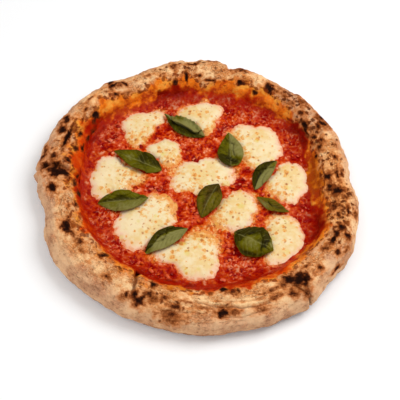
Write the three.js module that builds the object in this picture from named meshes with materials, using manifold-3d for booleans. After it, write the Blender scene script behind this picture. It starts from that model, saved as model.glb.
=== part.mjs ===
// A margherita pizza, about 300 mm across: a baked disc of dough with a puffed, blistered rim, a thin
// layer of crushed tomato, eleven melted patches of mozzarella and nine basil leaves.
// Millimetres, +Z up. Angles are in degrees, counted from +X towards +Y.
import * as THREE from "three";
import { mergeVertices } from "three/addons/utils/BufferGeometryUtils.js";
import Module from "manifold-3d";

const wasm = await Module();
wasm.setup();

// The middle of the sauced disc, counted from the middle of the whole, which the rim pushes off it.
const discCentre = { x: -0.4, y: -0.3 };

// Clear space between pieces that lie on each other.
const gap = 0.4;

// The dough: a thin disc inside a puffed rim. Its section is this one all the way round, stretched by
// the bumps below.
const dough = {
  outerRadius: 149.3,
  crestHeight: 28,
  crestInset: 19, // from the outer edge in to the crest
  widestHeight: 13, // where the outer wall stands out furthest
  footInset: 10, // how far the wall tucks in below that
  baseHeight: 4, // top of the thin disc
  columns: 132,
  arcSteps: 6,
};

// How far the rim stands out, rises, and leaves the sauce room, from place to place. A bump is `by` mm
// at angle `at`, and falls off over `before` degrees on one side and `after` on the other.
const outlineBumps = [
  { at: 17, by: 1.5, before: 4 },
  { at: 36, by: -1.5, before: 5 },
  { at: 58, by: -2, before: 6 },
  { at: 80.5, by: -6.5, before: 2 },
  { at: 85, by: 3, before: 2.5, after: 5 },
  { at: 113, by: -3, before: 9 },
  { at: 125, by: -3.5, before: 6 },
  { at: 147, by: -1.8, before: 11 },
  { at: 179, by: 2, before: 4, after: 1.5 },
  { at: 182, by: -3, before: 1.5, after: 10 },
  { at: 198, by: -5.5, before: 8 },
  { at: 238, by: -1.5, before: 7 },
  { at: 278, by: 2.5, before: 9 },
  { at: 302, by: 5, before: 12, after: 9 },
  { at: 316, by: 5.5, before: 5, after: 6 },
  { at: 338, by: 7.5, before: 11 },
  { at: 358, by: 2.5, before: 8 },
];
const crestBumps = [
  { at: 25, by: -1.5, before: 18 },
  { at: 62, by: -2, before: 8 },
  { at: 80.5, by: -6, before: 2.5 },
  { at: 92, by: 1.5, before: 12, after: 16 },
  { at: 123, by: -3, before: 8 },
  { at: 150, by: 1.5, before: 14 },
  { at: 177, by: 3, before: 7, after: 2.5 },
  { at: 188, by: -2, before: 5, after: 14 },
  { at: 228, by: 1, before: 20 },
  { at: 285, by: -1, before: 20 },
  { at: 318, by: 2, before: 6 },
  { at: 342, by: 2, before: 14 },
];
const sauceRadius = 106;
const sauceBumps = [
  { at: 0, by: 3, before: 25 },
  { at: 50, by: 14, before: 35 },
  { at: 98, by: 7, before: 22 },
  { at: 140, by: 12, before: 22 },
  { at: 333, by: 12.5, before: 22 },
];

// Raised blisters on the rim: `across` runs from 0 at the sauce to 1 at the outer edge.
const blisters = [
  { at: 14, across: 0.55, wide: 7, high: 1.4 },
  { at: 40, across: 0.6, wide: 10, high: 1.8 },
  { at: 64, across: 0.62, wide: 8, high: 1.6 },
  { at: 76, across: 0.7, wide: 10, high: 1.8 },
  { at: 104, across: 0.75, wide: 9, high: 1.4 },
  { at: 127, across: 0.72, wide: 5, high: 3.2 },
  { at: 157, across: 0.6, wide: 9, high: 2 },
  { at: 174, across: 0.55, wide: 11, high: 2 },
  { at: 186, across: 0.6, wide: 5, high: 1.2 },
  { at: 204, across: 0.45, wide: 7, high: 1.4 },
  { at: 252, across: 0.5, wide: 8, high: 1.8 },
  { at: 264, across: 0.6, wide: 10, high: 1.2 },
  { at: 285, across: 0.62, wide: 7, high: 1.6 },
  { at: 317, across: 0.4, wide: 9, high: 2.4 },
  { at: 345, across: 0.6, wide: 10, high: 2 },
];

// V-shaped cuts and splits across the rim: along a line, so wide at the crest, down to a floor height.
const cuts = [
  { from: [-112, -2], to: [-158, 1], wide: 3.6, floor: 8 },
  { from: [-48, -94], to: [-50, -150], wide: 2.6, floor: 12 },
  { from: [95, -92], to: [112, -130], wide: 2.8, floor: 8 },
  { from: [22, 124], to: [24, 162], wide: 6, floor: 15 },
  { from: [-103, 84], to: [-108, 118], wide: 3, floor: 18 },
];

// Where a cutter ends above the rim.
const cutTop = 40;

// Low waves all over the rim: `turns` round it, slanting by `slant` from the sauce to the outer edge.
const rimWaves = [
  { high: 0.5, turns: 17, slant: 6, across: 7 },
  { high: 0.4, turns: 29, slant: -9, across: 0 },
];

// The sauce: a thin uneven layer that stops short of the rim.
const sauce = { thickness: 1.2, ripple: 0.28, rippleLength: 9, columns: 60, rings: 9 };

// Each melted patch is the outline round a few overlapping lobes: x, y and radius from the disc's centre.
const cheese = {
  thickness: 2.7,
  edgeThickness: 0.7,
  flatness: 5, // how far out the top stays level before it rounds down
  swell: 0.25,
  swellLength: 5,
  columns: 30,
  smoothingSteps: 3, // on each side of a direction, to round off the creases between lobes
  smoothingAngle: 3,
};
const patches = [
  { lobes: [[-61, 73, 14.5], [-46, 80, 9.5], [-68, 71, 9.5], [-61, 58, 11], [-52, 67, 10]] },
  { lobes: [[3, 93, 15], [12, 97, 9], [-8, 90, 12], [-15, 87, 7], [4, 80, 10], [5, 71, 7.5]] },
  {
    lobes: [
      [60, 66, 17], [42, 70, 12], [35, 68, 9], [61, 46, 14], [69, 54, 9.5], [48, 50, 12], [55, 38, 9],
    ],
  },
  { lobes: [[90, 26, 15.5], [80, 14, 14], [88, 4, 11], [96, 14, 10], [72, 12, 7], [85, 33, 9]] },
  { lobes: [[83, -34, 16], [88, -50, 14.5], [78, -64, 12], [91, -42, 12], [74, -44, 9], [76, -53, 9]] },
  { lobes: [[42, -8, 14], [34, -18, 14], [26, -30, 11], [42, -28, 12], [50, -14, 9], [38, -36, 8]] },
  {
    lobes: [
      [-6, 16, 17], [14, 22, 17], [26, 20, 12.5], [4, 10, 15], [-15, 7, 11], [8, 32, 8], [20, 32, 8],
    ],
  },
  { lobes: [[-31, 46, 11.5], [-40, 44, 9], [-27, 39, 9.5], [-46, 44, 6]] },
  { lobes: [[-83, 18, 14.5], [-88, 4, 12.5], [-76, 10, 13], [-64, 10, 10.5], [-87, -10, 9], [-70, -4, 9]] },
  {
    lobes: [
      [-36, -24, 16], [-48, -38, 17], [-58, -46, 16], [-52, -58, 12], [-30, -34, 12], [-60, -32, 10],
    ],
  },
  {
    lobes: [
      [8, -60, 16], [12, -76, 14.5], [4, -86, 11.5], [17, -87, 8], [-8, -74, 11], [-26, -72, 10],
      [-34, -76, 8],
    ],
  },
];

// Each leaf runs from its stem end to its tip and is `wide` across. `bow` bends its midrib sideways,
// `fullest` is where along it is widest, `arch` lifts its middle, `cup` turns its edges up, or down where
// negative, and `wave` ripples them. `fold` turns one edge back over the leaf, by that much.
const leaf = {
  thickness: 0.7,
  blunt: 0.06, // width left at the ends, as a share of the widest
  plump: 0.85, // below 1 rounds the outline out
  waves: 2.5, // ripples along each edge
  alongSteps: 10,
  acrossSteps: 6,
  foldSteps: 6, // more steps across a folded leaf
  foldRadius: 2,
  foldRise: 0.2,
  restReach: 3, // how far round a point the leaf finds what it rests on
  restSteps: 8,
};
const leaves = [
  {
    base: [-37, 88], tip: [5, 64], wide: 20, bow: -2.5, fullest: 0.55, arch: 3, cup: 0, wave: 0.4, fold: 14,
  },
  { base: [-34, 18], tip: [-81, 38], wide: 23, bow: -2.5, fullest: 0.42, arch: 3.5, cup: 1.5, wave: 0.9 },
  { base: [29, 31], tip: [27, 71.5], wide: 25, bow: -0.5, fullest: 0.4, arch: 2, cup: 2, wave: 0.6 },
  { base: [55, 4.5], tip: [74, 42.5], wide: 17, bow: 4.5, fullest: 0.5, arch: 2.5, cup: -1.5, wave: 0.5 },
  { base: [56, -2], tip: [87, -16], wide: 13, bow: -1, fullest: 0.5, arch: 1, cup: 2, wave: 0.5 },
  { base: [20.5, 9], tip: [7, -30], wide: 22, bow: -1.5, fullest: 0.47, arch: 2.5, cup: -2, wave: 0.6 },
  { base: [-43, -13], tip: [-91, -22], wide: 23.5, bow: 1.5, fullest: 0.5, arch: 3, cup: -2, wave: 0.7 },
  { base: [-5, -42], tip: [-42, -72], wide: 19, bow: -4.5, fullest: 0.47, arch: 2, cup: 2, wave: 0.5 },
  { base: [38, -43], tip: [73, -59], wide: 33, bow: 0, fullest: 0.5, arch: 6, cup: -5, wave: 1.2 },
];

const look = {
  dough: { color: 0xd8a873, roughness: 0.85, metalness: 0 },
  sauce: { color: 0xb02a0e, roughness: 0.35, metalness: 0 },
  cheese: { color: 0xf3e3b8, roughness: 0.4, metalness: 0 },
  basil: { color: 0x50661f, roughness: 0.5, metalness: 0 },
};

// How far an angle lies past another, from -180 to 180.
const turnFrom = (at, angle) => THREE.MathUtils.euclideanModulo(angle - at + 180, 360) - 180;

// How much the listed bumps add at an angle.
function bumpsAt(angle, bumps) {
  let sum = 0;
  for (const { at, by, before, after = before } of bumps) {
    const away = turnFrom(at, angle);
    const spread = away < 0 ? before : after;
    sum += by * Math.exp(-((away / spread) ** 2));
  }
  return sum;
}

const outerRadiusAt = (angle) => dough.outerRadius + bumpsAt(angle, outlineBumps);
const crestHeightAt = (angle) => dough.crestHeight + bumpsAt(angle, crestBumps);
const sauceRadiusAt = (angle) => sauceRadius + bumpsAt(angle, sauceBumps);
const angleOf = (x, y) => THREE.MathUtils.radToDeg(Math.atan2(y, x));

// A closed body turned round +Z from a section of (distance, height) points that starts and ends on the
// axis. place(vertex, distance, angle, normal) then sets each vertex.
function turned(section, columns, place) {
  const geometry = new THREE.LatheGeometry(section, columns);
  geometry.rotateX(Math.PI / 2);
  const position = geometry.getAttribute("position");
  const normals = geometry.getAttribute("normal");
  const vertex = new THREE.Vector3();
  const normal = new THREE.Vector3();
  for (let i = 0; i < position.count; i += 1) {
    vertex.fromBufferAttribute(position, i);
    normal.fromBufferAttribute(normals, i);
    const distance = Math.hypot(vertex.x, vertex.y);
    place(vertex, distance, angleOf(vertex.x, vertex.y), normal);
    position.setXYZ(i, vertex.x, vertex.y, vertex.z);
  }
  return closed(geometry);
}

// The same geometry with its shared vertices merged, so that it is one closed mesh.
function closed(geometry) {
  geometry.deleteAttribute("normal");
  geometry.deleteAttribute("uv");
  return mergeVertices(geometry, 1e-3);
}

function toSolid(geometry) {
  return new wasm.Manifold(
    new wasm.Mesh({
      numProp: 3,
      vertProperties: new Float32Array(geometry.getAttribute("position").array),
      triVerts: new Uint32Array(geometry.index.array),
    }),
  );
}

function fromSolid(solid) {
  const mesh = solid.getMesh();
  const geometry = new THREE.BufferGeometry();
  geometry.setAttribute("position", new THREE.BufferAttribute(mesh.vertProperties, mesh.numProp));
  geometry.setIndex(new THREE.BufferAttribute(mesh.triVerts, 1));
  return geometry;
}

// The section of the rim in its mean form, from the middle of the underside round to the middle of the top.
function doughSection() {
  const crestRadius = dough.outerRadius - dough.crestInset;
  const footRadius = dough.outerRadius - dough.footInset;
  const quarter = Math.PI / 2;
  const foot = new THREE.EllipseCurve(
    footRadius, dough.widestHeight, dough.footInset, dough.widestHeight, -quarter, 0,
  );
  const outerWall = new THREE.EllipseCurve(
    crestRadius, dough.widestHeight, dough.crestInset, dough.crestHeight - dough.widestHeight, 0, quarter,
  );
  const innerWall = new THREE.EllipseCurve(
    crestRadius, dough.baseHeight, crestRadius - sauceRadius, dough.crestHeight - dough.baseHeight,
    quarter, 2 * quarter,
  );
  return [
    new THREE.Vector2(0, 0),
    ...foot.getPoints(dough.arcSteps - 2),
    ...outerWall.getPoints(dough.arcSteps).slice(1),
    ...innerWall.getPoints(dough.arcSteps).slice(1),
    new THREE.Vector2(0, dough.baseHeight),
  ];
}

// Blisters and low lumps on the rim, as a height along its normal.
function reliefAt(angle, across, radius) {
  const rimWidth = dough.outerRadius - sauceRadius;
  let height = 0;
  for (const { at, across: middle, wide, high } of blisters) {
    const along = THREE.MathUtils.degToRad(turnFrom(at, angle)) * radius;
    const away = Math.hypot(along, (across - middle) * rimWidth);
    height += high * Math.exp(-((away / wide) ** 2));
  }
  const turn = THREE.MathUtils.degToRad(angle);
  for (const wave of rimWaves) {
    height += wave.high * Math.sin(wave.turns * turn + wave.slant * across) * Math.cos(wave.across * across);
  }
  return height;
}

// Stretches the mean section to the rim's form at this angle, then raises its relief.
function placeDough(vertex, distance, angle, normal) {
  const meanWidth = dough.outerRadius - sauceRadius;
  const inner = sauceRadiusAt(angle);
  const outer = outerRadiusAt(angle);
  const across = (distance - sauceRadius) / meanWidth;
  const radius = across > 0 ? inner + across * (outer - inner) : distance * (inner / sauceRadius);
  const rise = (crestHeightAt(angle) - dough.baseHeight) / (dough.crestHeight - dough.baseHeight);
  const height = vertex.z > dough.baseHeight
    ? dough.baseHeight + (vertex.z - dough.baseHeight) * rise
    : vertex.z;
  const offSauce = THREE.MathUtils.smoothstep(across, 0.02, 0.15);
  const offFoot = THREE.MathUtils.smoothstep(vertex.z, dough.baseHeight, dough.widestHeight);
  const turn = THREE.MathUtils.degToRad(angle);
  vertex.set(radius * Math.cos(turn), radius * Math.sin(turn), height);
  vertex.addScaledVector(normal, offSauce * offFoot * reliefAt(angle, across, radius));
}

// A long wedge that cuts a V along the line between two points of the rim.
function cutter({ from, to, wide, floor }) {
  const [x0, y0] = from;
  const [x1, y1] = to;
  const length = Math.hypot(x1 - x0, y1 - y0);
  const section = new THREE.Shape([
    new THREE.Vector2(0, floor),
    new THREE.Vector2(wide / 2, cutTop),
    new THREE.Vector2(-wide / 2, cutTop),
  ]);
  const prism = new THREE.ExtrudeGeometry(section, { depth: length, bevelEnabled: false });
  prism.rotateX(Math.PI / 2);
  prism.rotateZ(Math.atan2(y1 - y0, x1 - x0) + Math.PI / 2);
  prism.translate(x0, y0, 0);
  return toSolid(closed(prism));
}

function makeDough() {
  let body = toSolid(turned(doughSection(), dough.columns, placeDough));
  for (const cut of cuts) {
    body = body.subtract(cutter(cut));
  }
  return fromSolid(body);
}

// Height of the sauce's surface over a point of the disc.
function sauceTop(x, y) {
  const long = sauce.rippleLength;
  const ripples = Math.sin(x / long + 1) * Math.cos(y / (long + 2)) + 0.7 * Math.sin((x + y) / (2 * long));
  return dough.baseHeight + gap + sauce.thickness + sauce.ripple * ripples;
}

function makeSauce() {
  const underside = 0;
  const surface = 1;
  const section = [new THREE.Vector2(0, underside), new THREE.Vector2(1, underside)];
  for (let ring = 0; ring <= sauce.rings; ring += 1) {
    section.push(new THREE.Vector2(Math.sqrt(1 - ring / sauce.rings), surface));
  }
  return turned(section, sauce.columns, (vertex, distance, angle) => {
    const radius = distance * (sauceRadiusAt(angle) - gap);
    const turn = THREE.MathUtils.degToRad(angle);
    const x = radius * Math.cos(turn);
    const y = radius * Math.sin(turn);
    vertex.set(x, y, vertex.z > surface / 2 ? sauceTop(x, y) : dough.baseHeight + gap);
  });
}

// The middle of a patch: the mean of its lobes, the large ones counting for more.
function patchCentre({ lobes }) {
  let area = 0;
  const centre = new THREE.Vector2();
  for (const [x, y, radius] of lobes) {
    centre.x += x * radius ** 2;
    centre.y += y * radius ** 2;
    area += radius ** 2;
  }
  return centre.divideScalar(area);
}

// How far the lobes reach from the patch's centre in one direction.
function lobeReach(lobes, centre, angle) {
  const turn = THREE.MathUtils.degToRad(angle);
  let reach = 0;
  for (const [x, y, radius] of lobes) {
    const along = (x - centre.x) * Math.cos(turn) + (y - centre.y) * Math.sin(turn);
    const offset2 = (x - centre.x) ** 2 + (y - centre.y) ** 2 - along ** 2;
    if (offset2 < radius ** 2) {
      reach = Math.max(reach, along + Math.sqrt(radius ** 2 - offset2));
    }
  }
  return reach;
}

// The patch's edge in that direction: the lobes' reach, with the creases between them rounded off.
function patchRadius(patch, angle) {
  const centre = patchCentre(patch);
  const span = cheese.smoothingSteps;
  let sum = 0;
  let weights = 0;
  for (let step = -span; step <= span; step += 1) {
    const weight = span + 1 - Math.abs(step);
    sum += weight * lobeReach(patch.lobes, centre, angle + cheese.smoothingAngle * step);
    weights += weight;
  }
  return sum / weights;
}

// Thickness of a melted patch: full in the middle, rounding down to a thin edge, with a low swell.
function cheeseThickness(share, x, y) {
  const dome = Math.sqrt(Math.max(0, 1 - share ** cheese.flatness));
  const swell = Math.sin(x / cheese.swellLength) * Math.sin(y / cheese.swellLength) * (1 - share);
  return cheese.edgeThickness + (cheese.thickness - cheese.edgeThickness) * dome + cheese.swell * swell;
}

function makePatch(patch) {
  const underside = 0;
  const surface = 1;
  const section = [
    [0, underside], [0.7, underside], [1, underside],
    [1, surface], [0.93, surface], [0.78, surface], [0.5, surface], [0, surface],
  ].map(([distance, height]) => new THREE.Vector2(distance, height));
  const centre = patchCentre(patch);
  return turned(section, cheese.columns, (vertex, distance, angle) => {
    const radius = distance * patchRadius(patch, angle);
    const turn = THREE.MathUtils.degToRad(angle);
    const x = centre.x + radius * Math.cos(turn);
    const y = centre.y + radius * Math.sin(turn);
    const thickness = vertex.z > surface / 2 ? cheeseThickness(distance, x, y) : 0;
    vertex.set(x, y, sauceTop(x, y) + gap + thickness);
  });
}

// Height of whatever lies uppermost on the sauced disc at a point: sauce, or the cheese that covers it.
function toppingTop(x, y) {
  let top = sauceTop(x, y);
  for (const patch of patches) {
    const centre = patchCentre(patch);
    const share = Math.hypot(x - centre.x, y - centre.y)
      / patchRadius(patch, angleOf(x - centre.x, y - centre.y));
    if (share < 1) {
      top = Math.max(top, sauceTop(x, y) + gap + cheeseThickness(share, x, y));
    }
  }
  return top;
}

// What a leaf rests on at a point: the highest topping within a few millimetres.
function restHeight(x, y) {
  let top = toppingTop(x, y);
  for (let step = 0; step < leaf.restSteps; step += 1) {
    const turn = (step / leaf.restSteps) * 2 * Math.PI;
    const aside = new THREE.Vector2(leaf.restReach, 0).rotateAround(new THREE.Vector2(), turn);
    top = Math.max(top, toppingTop(x + aside.x, y + aside.y));
  }
  return top + gap;
}

// A point of a leaf's underside: `along` from 0 at the stem end to 1 at the tip, `side` from -1 to 1.
function leafPoint({ base, tip, wide, bow, fullest, arch, cup, wave, fold = 0 }, along, side) {
  const start = new THREE.Vector2(...base);
  const axis = new THREE.Vector2(...tip).sub(start);
  const length = axis.length();
  axis.normalize();
  const across = new THREE.Vector2(-axis.y, axis.x);
  const middle = 4 * along * (1 - along);
  const skew = Math.log(0.5) / Math.log(fullest);
  const within = THREE.MathUtils.clamp(along, 1e-6, 1 - 1e-6);
  const fullness = Math.sin(Math.PI * within ** skew) ** leaf.plump;
  const halfWidth = (wide / 2) * Math.max(fullness, leaf.blunt);

  // Across the leaf the sheet runs out to the edge; a folded one turns up there and comes back above.
  const folded = fold * THREE.MathUtils.smoothstep(fullness, 0.3, 0.75);
  const run = side * (halfWidth + (side > 0 ? folded : 0));
  const bendRadius = Math.min(leaf.foldRadius, 0.35 * halfWidth);
  const past = fold > 0 ? run - (halfWidth - bendRadius) : 0;
  let reach = run;
  let lift = 0;
  if (past > 0) {
    const bend = Math.min(past / bendRadius, Math.PI);
    const straight = Math.max(0, past - Math.PI * bendRadius);
    reach = halfWidth - bendRadius + bendRadius * Math.sin(bend) - straight;
    lift = bendRadius * (1 - Math.cos(bend)) + leaf.foldRise * straight;
  }
  const point = start.addScaledVector(axis, along * length).addScaledVector(across, bow * middle + reach);
  const edge = side ** 2;
  lift += arch * middle + (cup < 0 ? cup * (edge - 1) : cup * edge) * middle;
  lift += wave * Math.sin(2 * Math.PI * leaf.waves * along + 2 * side) * edge * middle;
  return new THREE.Vector3(point.x, point.y, restHeight(point.x, point.y) + Math.max(lift, 0));
}

// A sheet of even thickness on a grid of points, the same triangles above and below, closed at its edges.
function sheetSolid(alongSteps, acrossSteps, thickness, pointAt) {
  const grid = new THREE.PlaneGeometry(1, 1, alongSteps, acrossSteps);
  const count = (alongSteps + 1) * (acrossSteps + 1);
  const lower = grid.getAttribute("position").clone();
  for (let i = 0; i < count; i += 1) {
    const point = pointAt(lower.getX(i) + 0.5, 2 * lower.getY(i));
    lower.setXYZ(i, point.x, point.y, point.z);
  }
  const sheet = new THREE.BufferGeometry().setAttribute("position", lower).setIndex(grid.index);
  sheet.computeVertexNormals();
  const normals = sheet.getAttribute("normal");
  const corners = [...lower.array];
  for (let i = 0; i < count; i += 1) {
    corners.push(
      lower.getX(i) + thickness * normals.getX(i),
      lower.getY(i) + thickness * normals.getY(i),
      lower.getZ(i) + thickness * normals.getZ(i),
    );
  }
  const faces = [];
  for (let i = 0; i < grid.index.count; i += 3) {
    const [a, b, c] = grid.index.array.slice(i, i + 3);
    faces.push(a, c, b, a + count, b + count, c + count);
  }
  const row = alongSteps + 1;
  const border = [];
  for (let i = 0; i < alongSteps; i += 1) border.push(i);
  for (let i = 0; i < acrossSteps; i += 1) border.push(alongSteps + i * row);
  for (let i = alongSteps; i > 0; i -= 1) border.push(acrossSteps * row + i);
  for (let i = acrossSteps; i > 0; i -= 1) border.push(i * row);
  border.forEach((a, i) => {
    const b = border[(i + 1) % border.length];
    faces.push(a, b + count, b, a, a + count, b + count);
  });
  const solid = new THREE.BufferGeometry();
  solid.setAttribute("position", new THREE.Float32BufferAttribute(corners, 3));
  solid.setIndex(faces);
  return solid;
}

function makeLeaf(shape) {
  const acrossSteps = leaf.acrossSteps + (shape.fold ? leaf.foldSteps : 0);
  const pointAt = (along, side) => leafPoint(shape, along, side);
  return sheetSolid(leaf.alongSteps, acrossSteps, leaf.thickness, pointAt);
}

const pizza = new THREE.Group();
pizza.position.set(discCentre.x, discCentre.y, 0);

function add(name, geometry, material) {
  geometry.computeVertexNormals();
  const mesh = new THREE.Mesh(geometry, new THREE.MeshStandardMaterial(material));
  mesh.name = name;
  pizza.add(mesh);
}

const numbered = (name, i) => `${name}_${String(i + 1).padStart(2, "0")}`;

add("dough", makeDough(), look.dough);
add("sauce", makeSauce(), look.sauce);
patches.forEach((patch, i) => add(numbered("mozzarella", i), makePatch(patch), look.cheese));
leaves.forEach((shape, i) => add(numbered("basil", i), makeLeaf(shape), look.basil));

const whole = new THREE.Group();
whole.add(pizza);

export default whole;
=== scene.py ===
import math

import bmesh
import bpy
import numpy as np
from mathutils import Matrix, Vector, noise


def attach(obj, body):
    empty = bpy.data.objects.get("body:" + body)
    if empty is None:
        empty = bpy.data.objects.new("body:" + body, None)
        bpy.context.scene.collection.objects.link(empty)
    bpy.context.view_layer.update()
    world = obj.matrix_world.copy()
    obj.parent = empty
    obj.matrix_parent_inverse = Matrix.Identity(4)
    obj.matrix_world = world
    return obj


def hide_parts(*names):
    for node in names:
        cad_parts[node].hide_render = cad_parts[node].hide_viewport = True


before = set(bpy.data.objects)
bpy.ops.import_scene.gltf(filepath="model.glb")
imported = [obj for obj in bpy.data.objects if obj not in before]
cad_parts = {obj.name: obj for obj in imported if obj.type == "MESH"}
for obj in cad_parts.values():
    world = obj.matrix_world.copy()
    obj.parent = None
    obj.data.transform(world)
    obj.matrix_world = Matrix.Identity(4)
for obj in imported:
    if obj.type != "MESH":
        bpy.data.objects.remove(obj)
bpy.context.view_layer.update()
print("frame loaded:", len(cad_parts), "nodes")

# Shapes are worked out in millimetres round the middle of the sauced disc, then scaled and moved
# into the frame. Angles are in degrees, from +X towards +Y.
toMetres = 0.001
discCentre = (-0.4, -0.3)
clearSpace = 0.4  # between pieces that lie on each other


# ---- numbers and noise

def smoothStep(low, high, value):
    share = np.clip((value - low) / (high - low), 0, 1)
    return share * share * (3 - 2 * share)


def bell(value):
    # 1 at 0, and almost 0 from 2 on, on both sides
    return np.exp(-value ** 2)


def mound(x, y, reach):
    return np.exp(-(x ** 2 + y ** 2) / reach ** 2)


def inRadians(angle):
    return angle * math.pi / 180


def spotAt(radius, angle, centre=(0, 0)):
    turn = inRadians(angle)
    return centre[0] + radius * np.cos(turn), centre[1] + radius * np.sin(turn)


def angleOf(x, y):
    return np.degrees(np.arctan2(y, x)) % 360


def turnFrom(at, angle):
    return (angle - at + 180) % 360 - 180


def bumpsAt(angle, bumps):
    # each bump is (angle, height, spread before it, spread after it)
    total = np.zeros_like(angle)
    for at, by, before, *after in bumps:
        away = turnFrom(at, angle)
        spread = np.where(away < 0, before, after[0] if after else before)
        total += by * bell(away / spread)
    return total


def noiseAt(points, size, seed=0, octaves=1):
    # smooth noise, about -1 to 1, whose lumps are `size` apart
    moved = (points / size + (seed * 3.7, seed * 7.1, seed * 1.3)).tolist()
    if octaves == 1:
        return np.array([noise.noise(point) for point in moved])
    return np.array([noise.fractal(point, 1.0, 2.0, octaves) for point in moved])


def noiseSum(points, layers):
    # each layer is (how strong, size, seed, octaves)
    return sum(by * noiseAt(points, *layer) for by, *layer in layers)


def flat(x, y, z=0.0):
    return np.stack([x, y, np.zeros_like(x) + z], axis=1)


def segmentDistance(x, y, start, end):
    # how far each point is from a line, and how far along the line it is, from 0 to 1
    ax, ay = start
    bx, by = end
    length2 = (bx - ax) ** 2 + (by - ay) ** 2
    share = np.clip(((x - ax) * (bx - ax) + (y - ay) * (by - ay)) / length2, 0, 1)
    return np.hypot(x - ax - share * (bx - ax), y - ay - share * (by - ay)), share


# ---- meshes

def readNumbers(items, name, width):
    values = np.empty(len(items) * width, np.float32)
    items.foreach_get(name, values)
    return values.reshape(-1, width).astype(float)


def readPoints(mesh):
    return readNumbers(mesh.vertices, "co", 3)


def readNormals(mesh):
    return readNumbers(mesh.vertex_normals, "vector", 3)


def writePoints(mesh, points):
    mesh.vertices.foreach_set("co", points.astype(np.float32).ravel())
    mesh.update()


def writeNumbers(mesh, name, kind, key, values):
    attribute = mesh.attributes.new(name, kind, "POINT")
    attribute.data.foreach_set(key, values.astype(np.float32).ravel())


def writeValues(mesh, **named):
    # from 0 to 1 at each vertex, for the materials to read by name
    for name, values in named.items():
        writeNumbers(mesh, name, "FLOAT", "value", np.clip(values, 0, 1))


def meshFrom(bm, name):
    mesh = bpy.data.meshes.new(name)
    bm.to_mesh(mesh)
    bm.free()
    return mesh


def gridMesh(name, columns, rows, size=1):
    # a flat square grid, centred on the origin
    bm = bmesh.new()
    bmesh.ops.create_grid(bm, x_segments=columns, y_segments=rows, size=size / 2)
    return meshFrom(bm, name)


def editMesh(mesh, change):
    bm = bmesh.new()
    bm.from_mesh(mesh)
    change(bm)
    bm.to_mesh(mesh)
    bm.free()
    mesh.update()


def mergeSeams(bm):
    bmesh.ops.remove_doubles(bm, verts=bm.verts, dist=1e-4)
    bmesh.ops.recalc_face_normals(bm, faces=bm.faces)


def closeBelow(height):
    # closes an open sheet: its border goes straight down to height, and one face shuts it
    def change(bm):
        border = [edge for edge in bm.edges if edge.is_boundary]
        made = bmesh.ops.extrude_edge_only(bm, edges=border)["geom"]
        for item in made:
            if isinstance(item, bmesh.types.BMVert):
                item.co.z = height
        loop = [edge for edge in made if isinstance(edge, bmesh.types.BMEdge) and edge.is_boundary]
        bmesh.ops.edgeloop_fill(bm, edges=loop)
        bmesh.ops.recalc_face_normals(bm, faces=bm.faces)
    return change


def discShares(mesh):
    # pulls a grid's square out to a disc: share of the radius, and angle, of each vertex
    points = readPoints(mesh) * 2
    x, y = points[:, 0], points[:, 1]
    roundX = x * np.sqrt(1 - y * y / 2)
    roundY = y * np.sqrt(1 - x * x / 2)
    return np.hypot(roundX, roundY), angleOf(roundX, roundY)


def addObject(name, data):
    made = bpy.data.objects.new(name, data)
    bpy.context.scene.collection.objects.link(made)
    return made


def finishPiece(mesh, material, slot, *nodes):
    # scales the mesh into the frame and makes it a piece of the pizza
    mesh.transform(Matrix.Scale(toMetres, 4) @ Matrix.Translation((*discCentre, 0)))
    mesh.shade_smooth()
    mesh.materials.append(material)
    piece = addObject(mesh.name, mesh)
    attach(piece, "root")
    if nodes:
        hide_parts(*nodes)
    return piece


# ---- materials

class Wire:
    # an output socket of a material's nodes, with arithmetic that adds Math nodes

    def __init__(self, tree, socket=None):
        self.tree = tree
        self.socket = socket

    def node(self, kind, settings=None, output=0, **values):
        # a value goes to the input of its name, or of its number: i0 is the first
        made = self.tree.nodes.new("ShaderNode" + kind)
        for name, value in (settings or {}).items():
            setattr(made, name, value)
        inputNames = [socket.name for socket in made.inputs]
        for name, value in values.items():
            index = inputNames.index(name) if name in inputNames else int(name[1:])
            self.feed(made.inputs[index], value)
        return Wire(self.tree, made.outputs[output])

    def feed(self, socket, value):
        if isinstance(value, Wire):
            self.tree.links.new(value.socket, socket)
        elif socket.type == "RGBA":
            socket.default_value = (*value, 1)
        else:
            socket.default_value = value

    def math(self, operation, first, second=0.0):
        return self.node("Math", {"operation": operation}, i0=first, i1=second)

    def __add__(self, other):
        return self.math("ADD", self, other)

    def __radd__(self, other):
        return self.math("ADD", other, self)

    def __sub__(self, other):
        return self.math("SUBTRACT", self, other)

    def __rsub__(self, other):
        return self.math("SUBTRACT", other, self)

    def __mul__(self, other):
        return self.math("MULTIPLY", self, other)

    def __rmul__(self, other):
        return self.math("MULTIPLY", other, self)

    def swing(self, by):
        # noise from 0 to 1, turned into noise round zero that is `by` from end to end
        return (self - 0.5) * by

    def fromHalf(self):
        return self.math("ABSOLUTE", self - 0.5)

    def step(self, low, high):
        # 0 below low, 1 above high, smooth between; low may be the larger of the two
        return self.node("MapRange", {"interpolation_type": "SMOOTHSTEP"},
                         i0=self, i1=low, i2=high, i3=0.0, i4=1.0)

    def layers(self, colour, *over):
        # lays colours over a first one, each given as (how strongly, colour)
        for factor, other in over:
            colour = self.node("Mix", {"data_type": "RGBA"}, output=2, i0=factor, i6=colour, i7=other)
        return colour


def tintsOf(piece):
    # colours are written as a screen shows them, 0 to 255
    return {name: tuple((part / 255) ** 2.2 for part in shown) for name, shown in piece["tints"].items()}


def startMaterial(name):
    material = bpy.data.materials.new(name)
    material.use_nodes = True
    tree = material.node_tree
    wires = Wire(tree)
    objectSpot = wires.node("TexCoord", output=3)
    spot = wires.node("Mapping", i0=objectSpot, i3=(1 / toMetres,) * 3)
    return material, wires, tree.nodes["Principled BSDF"], spot


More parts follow.
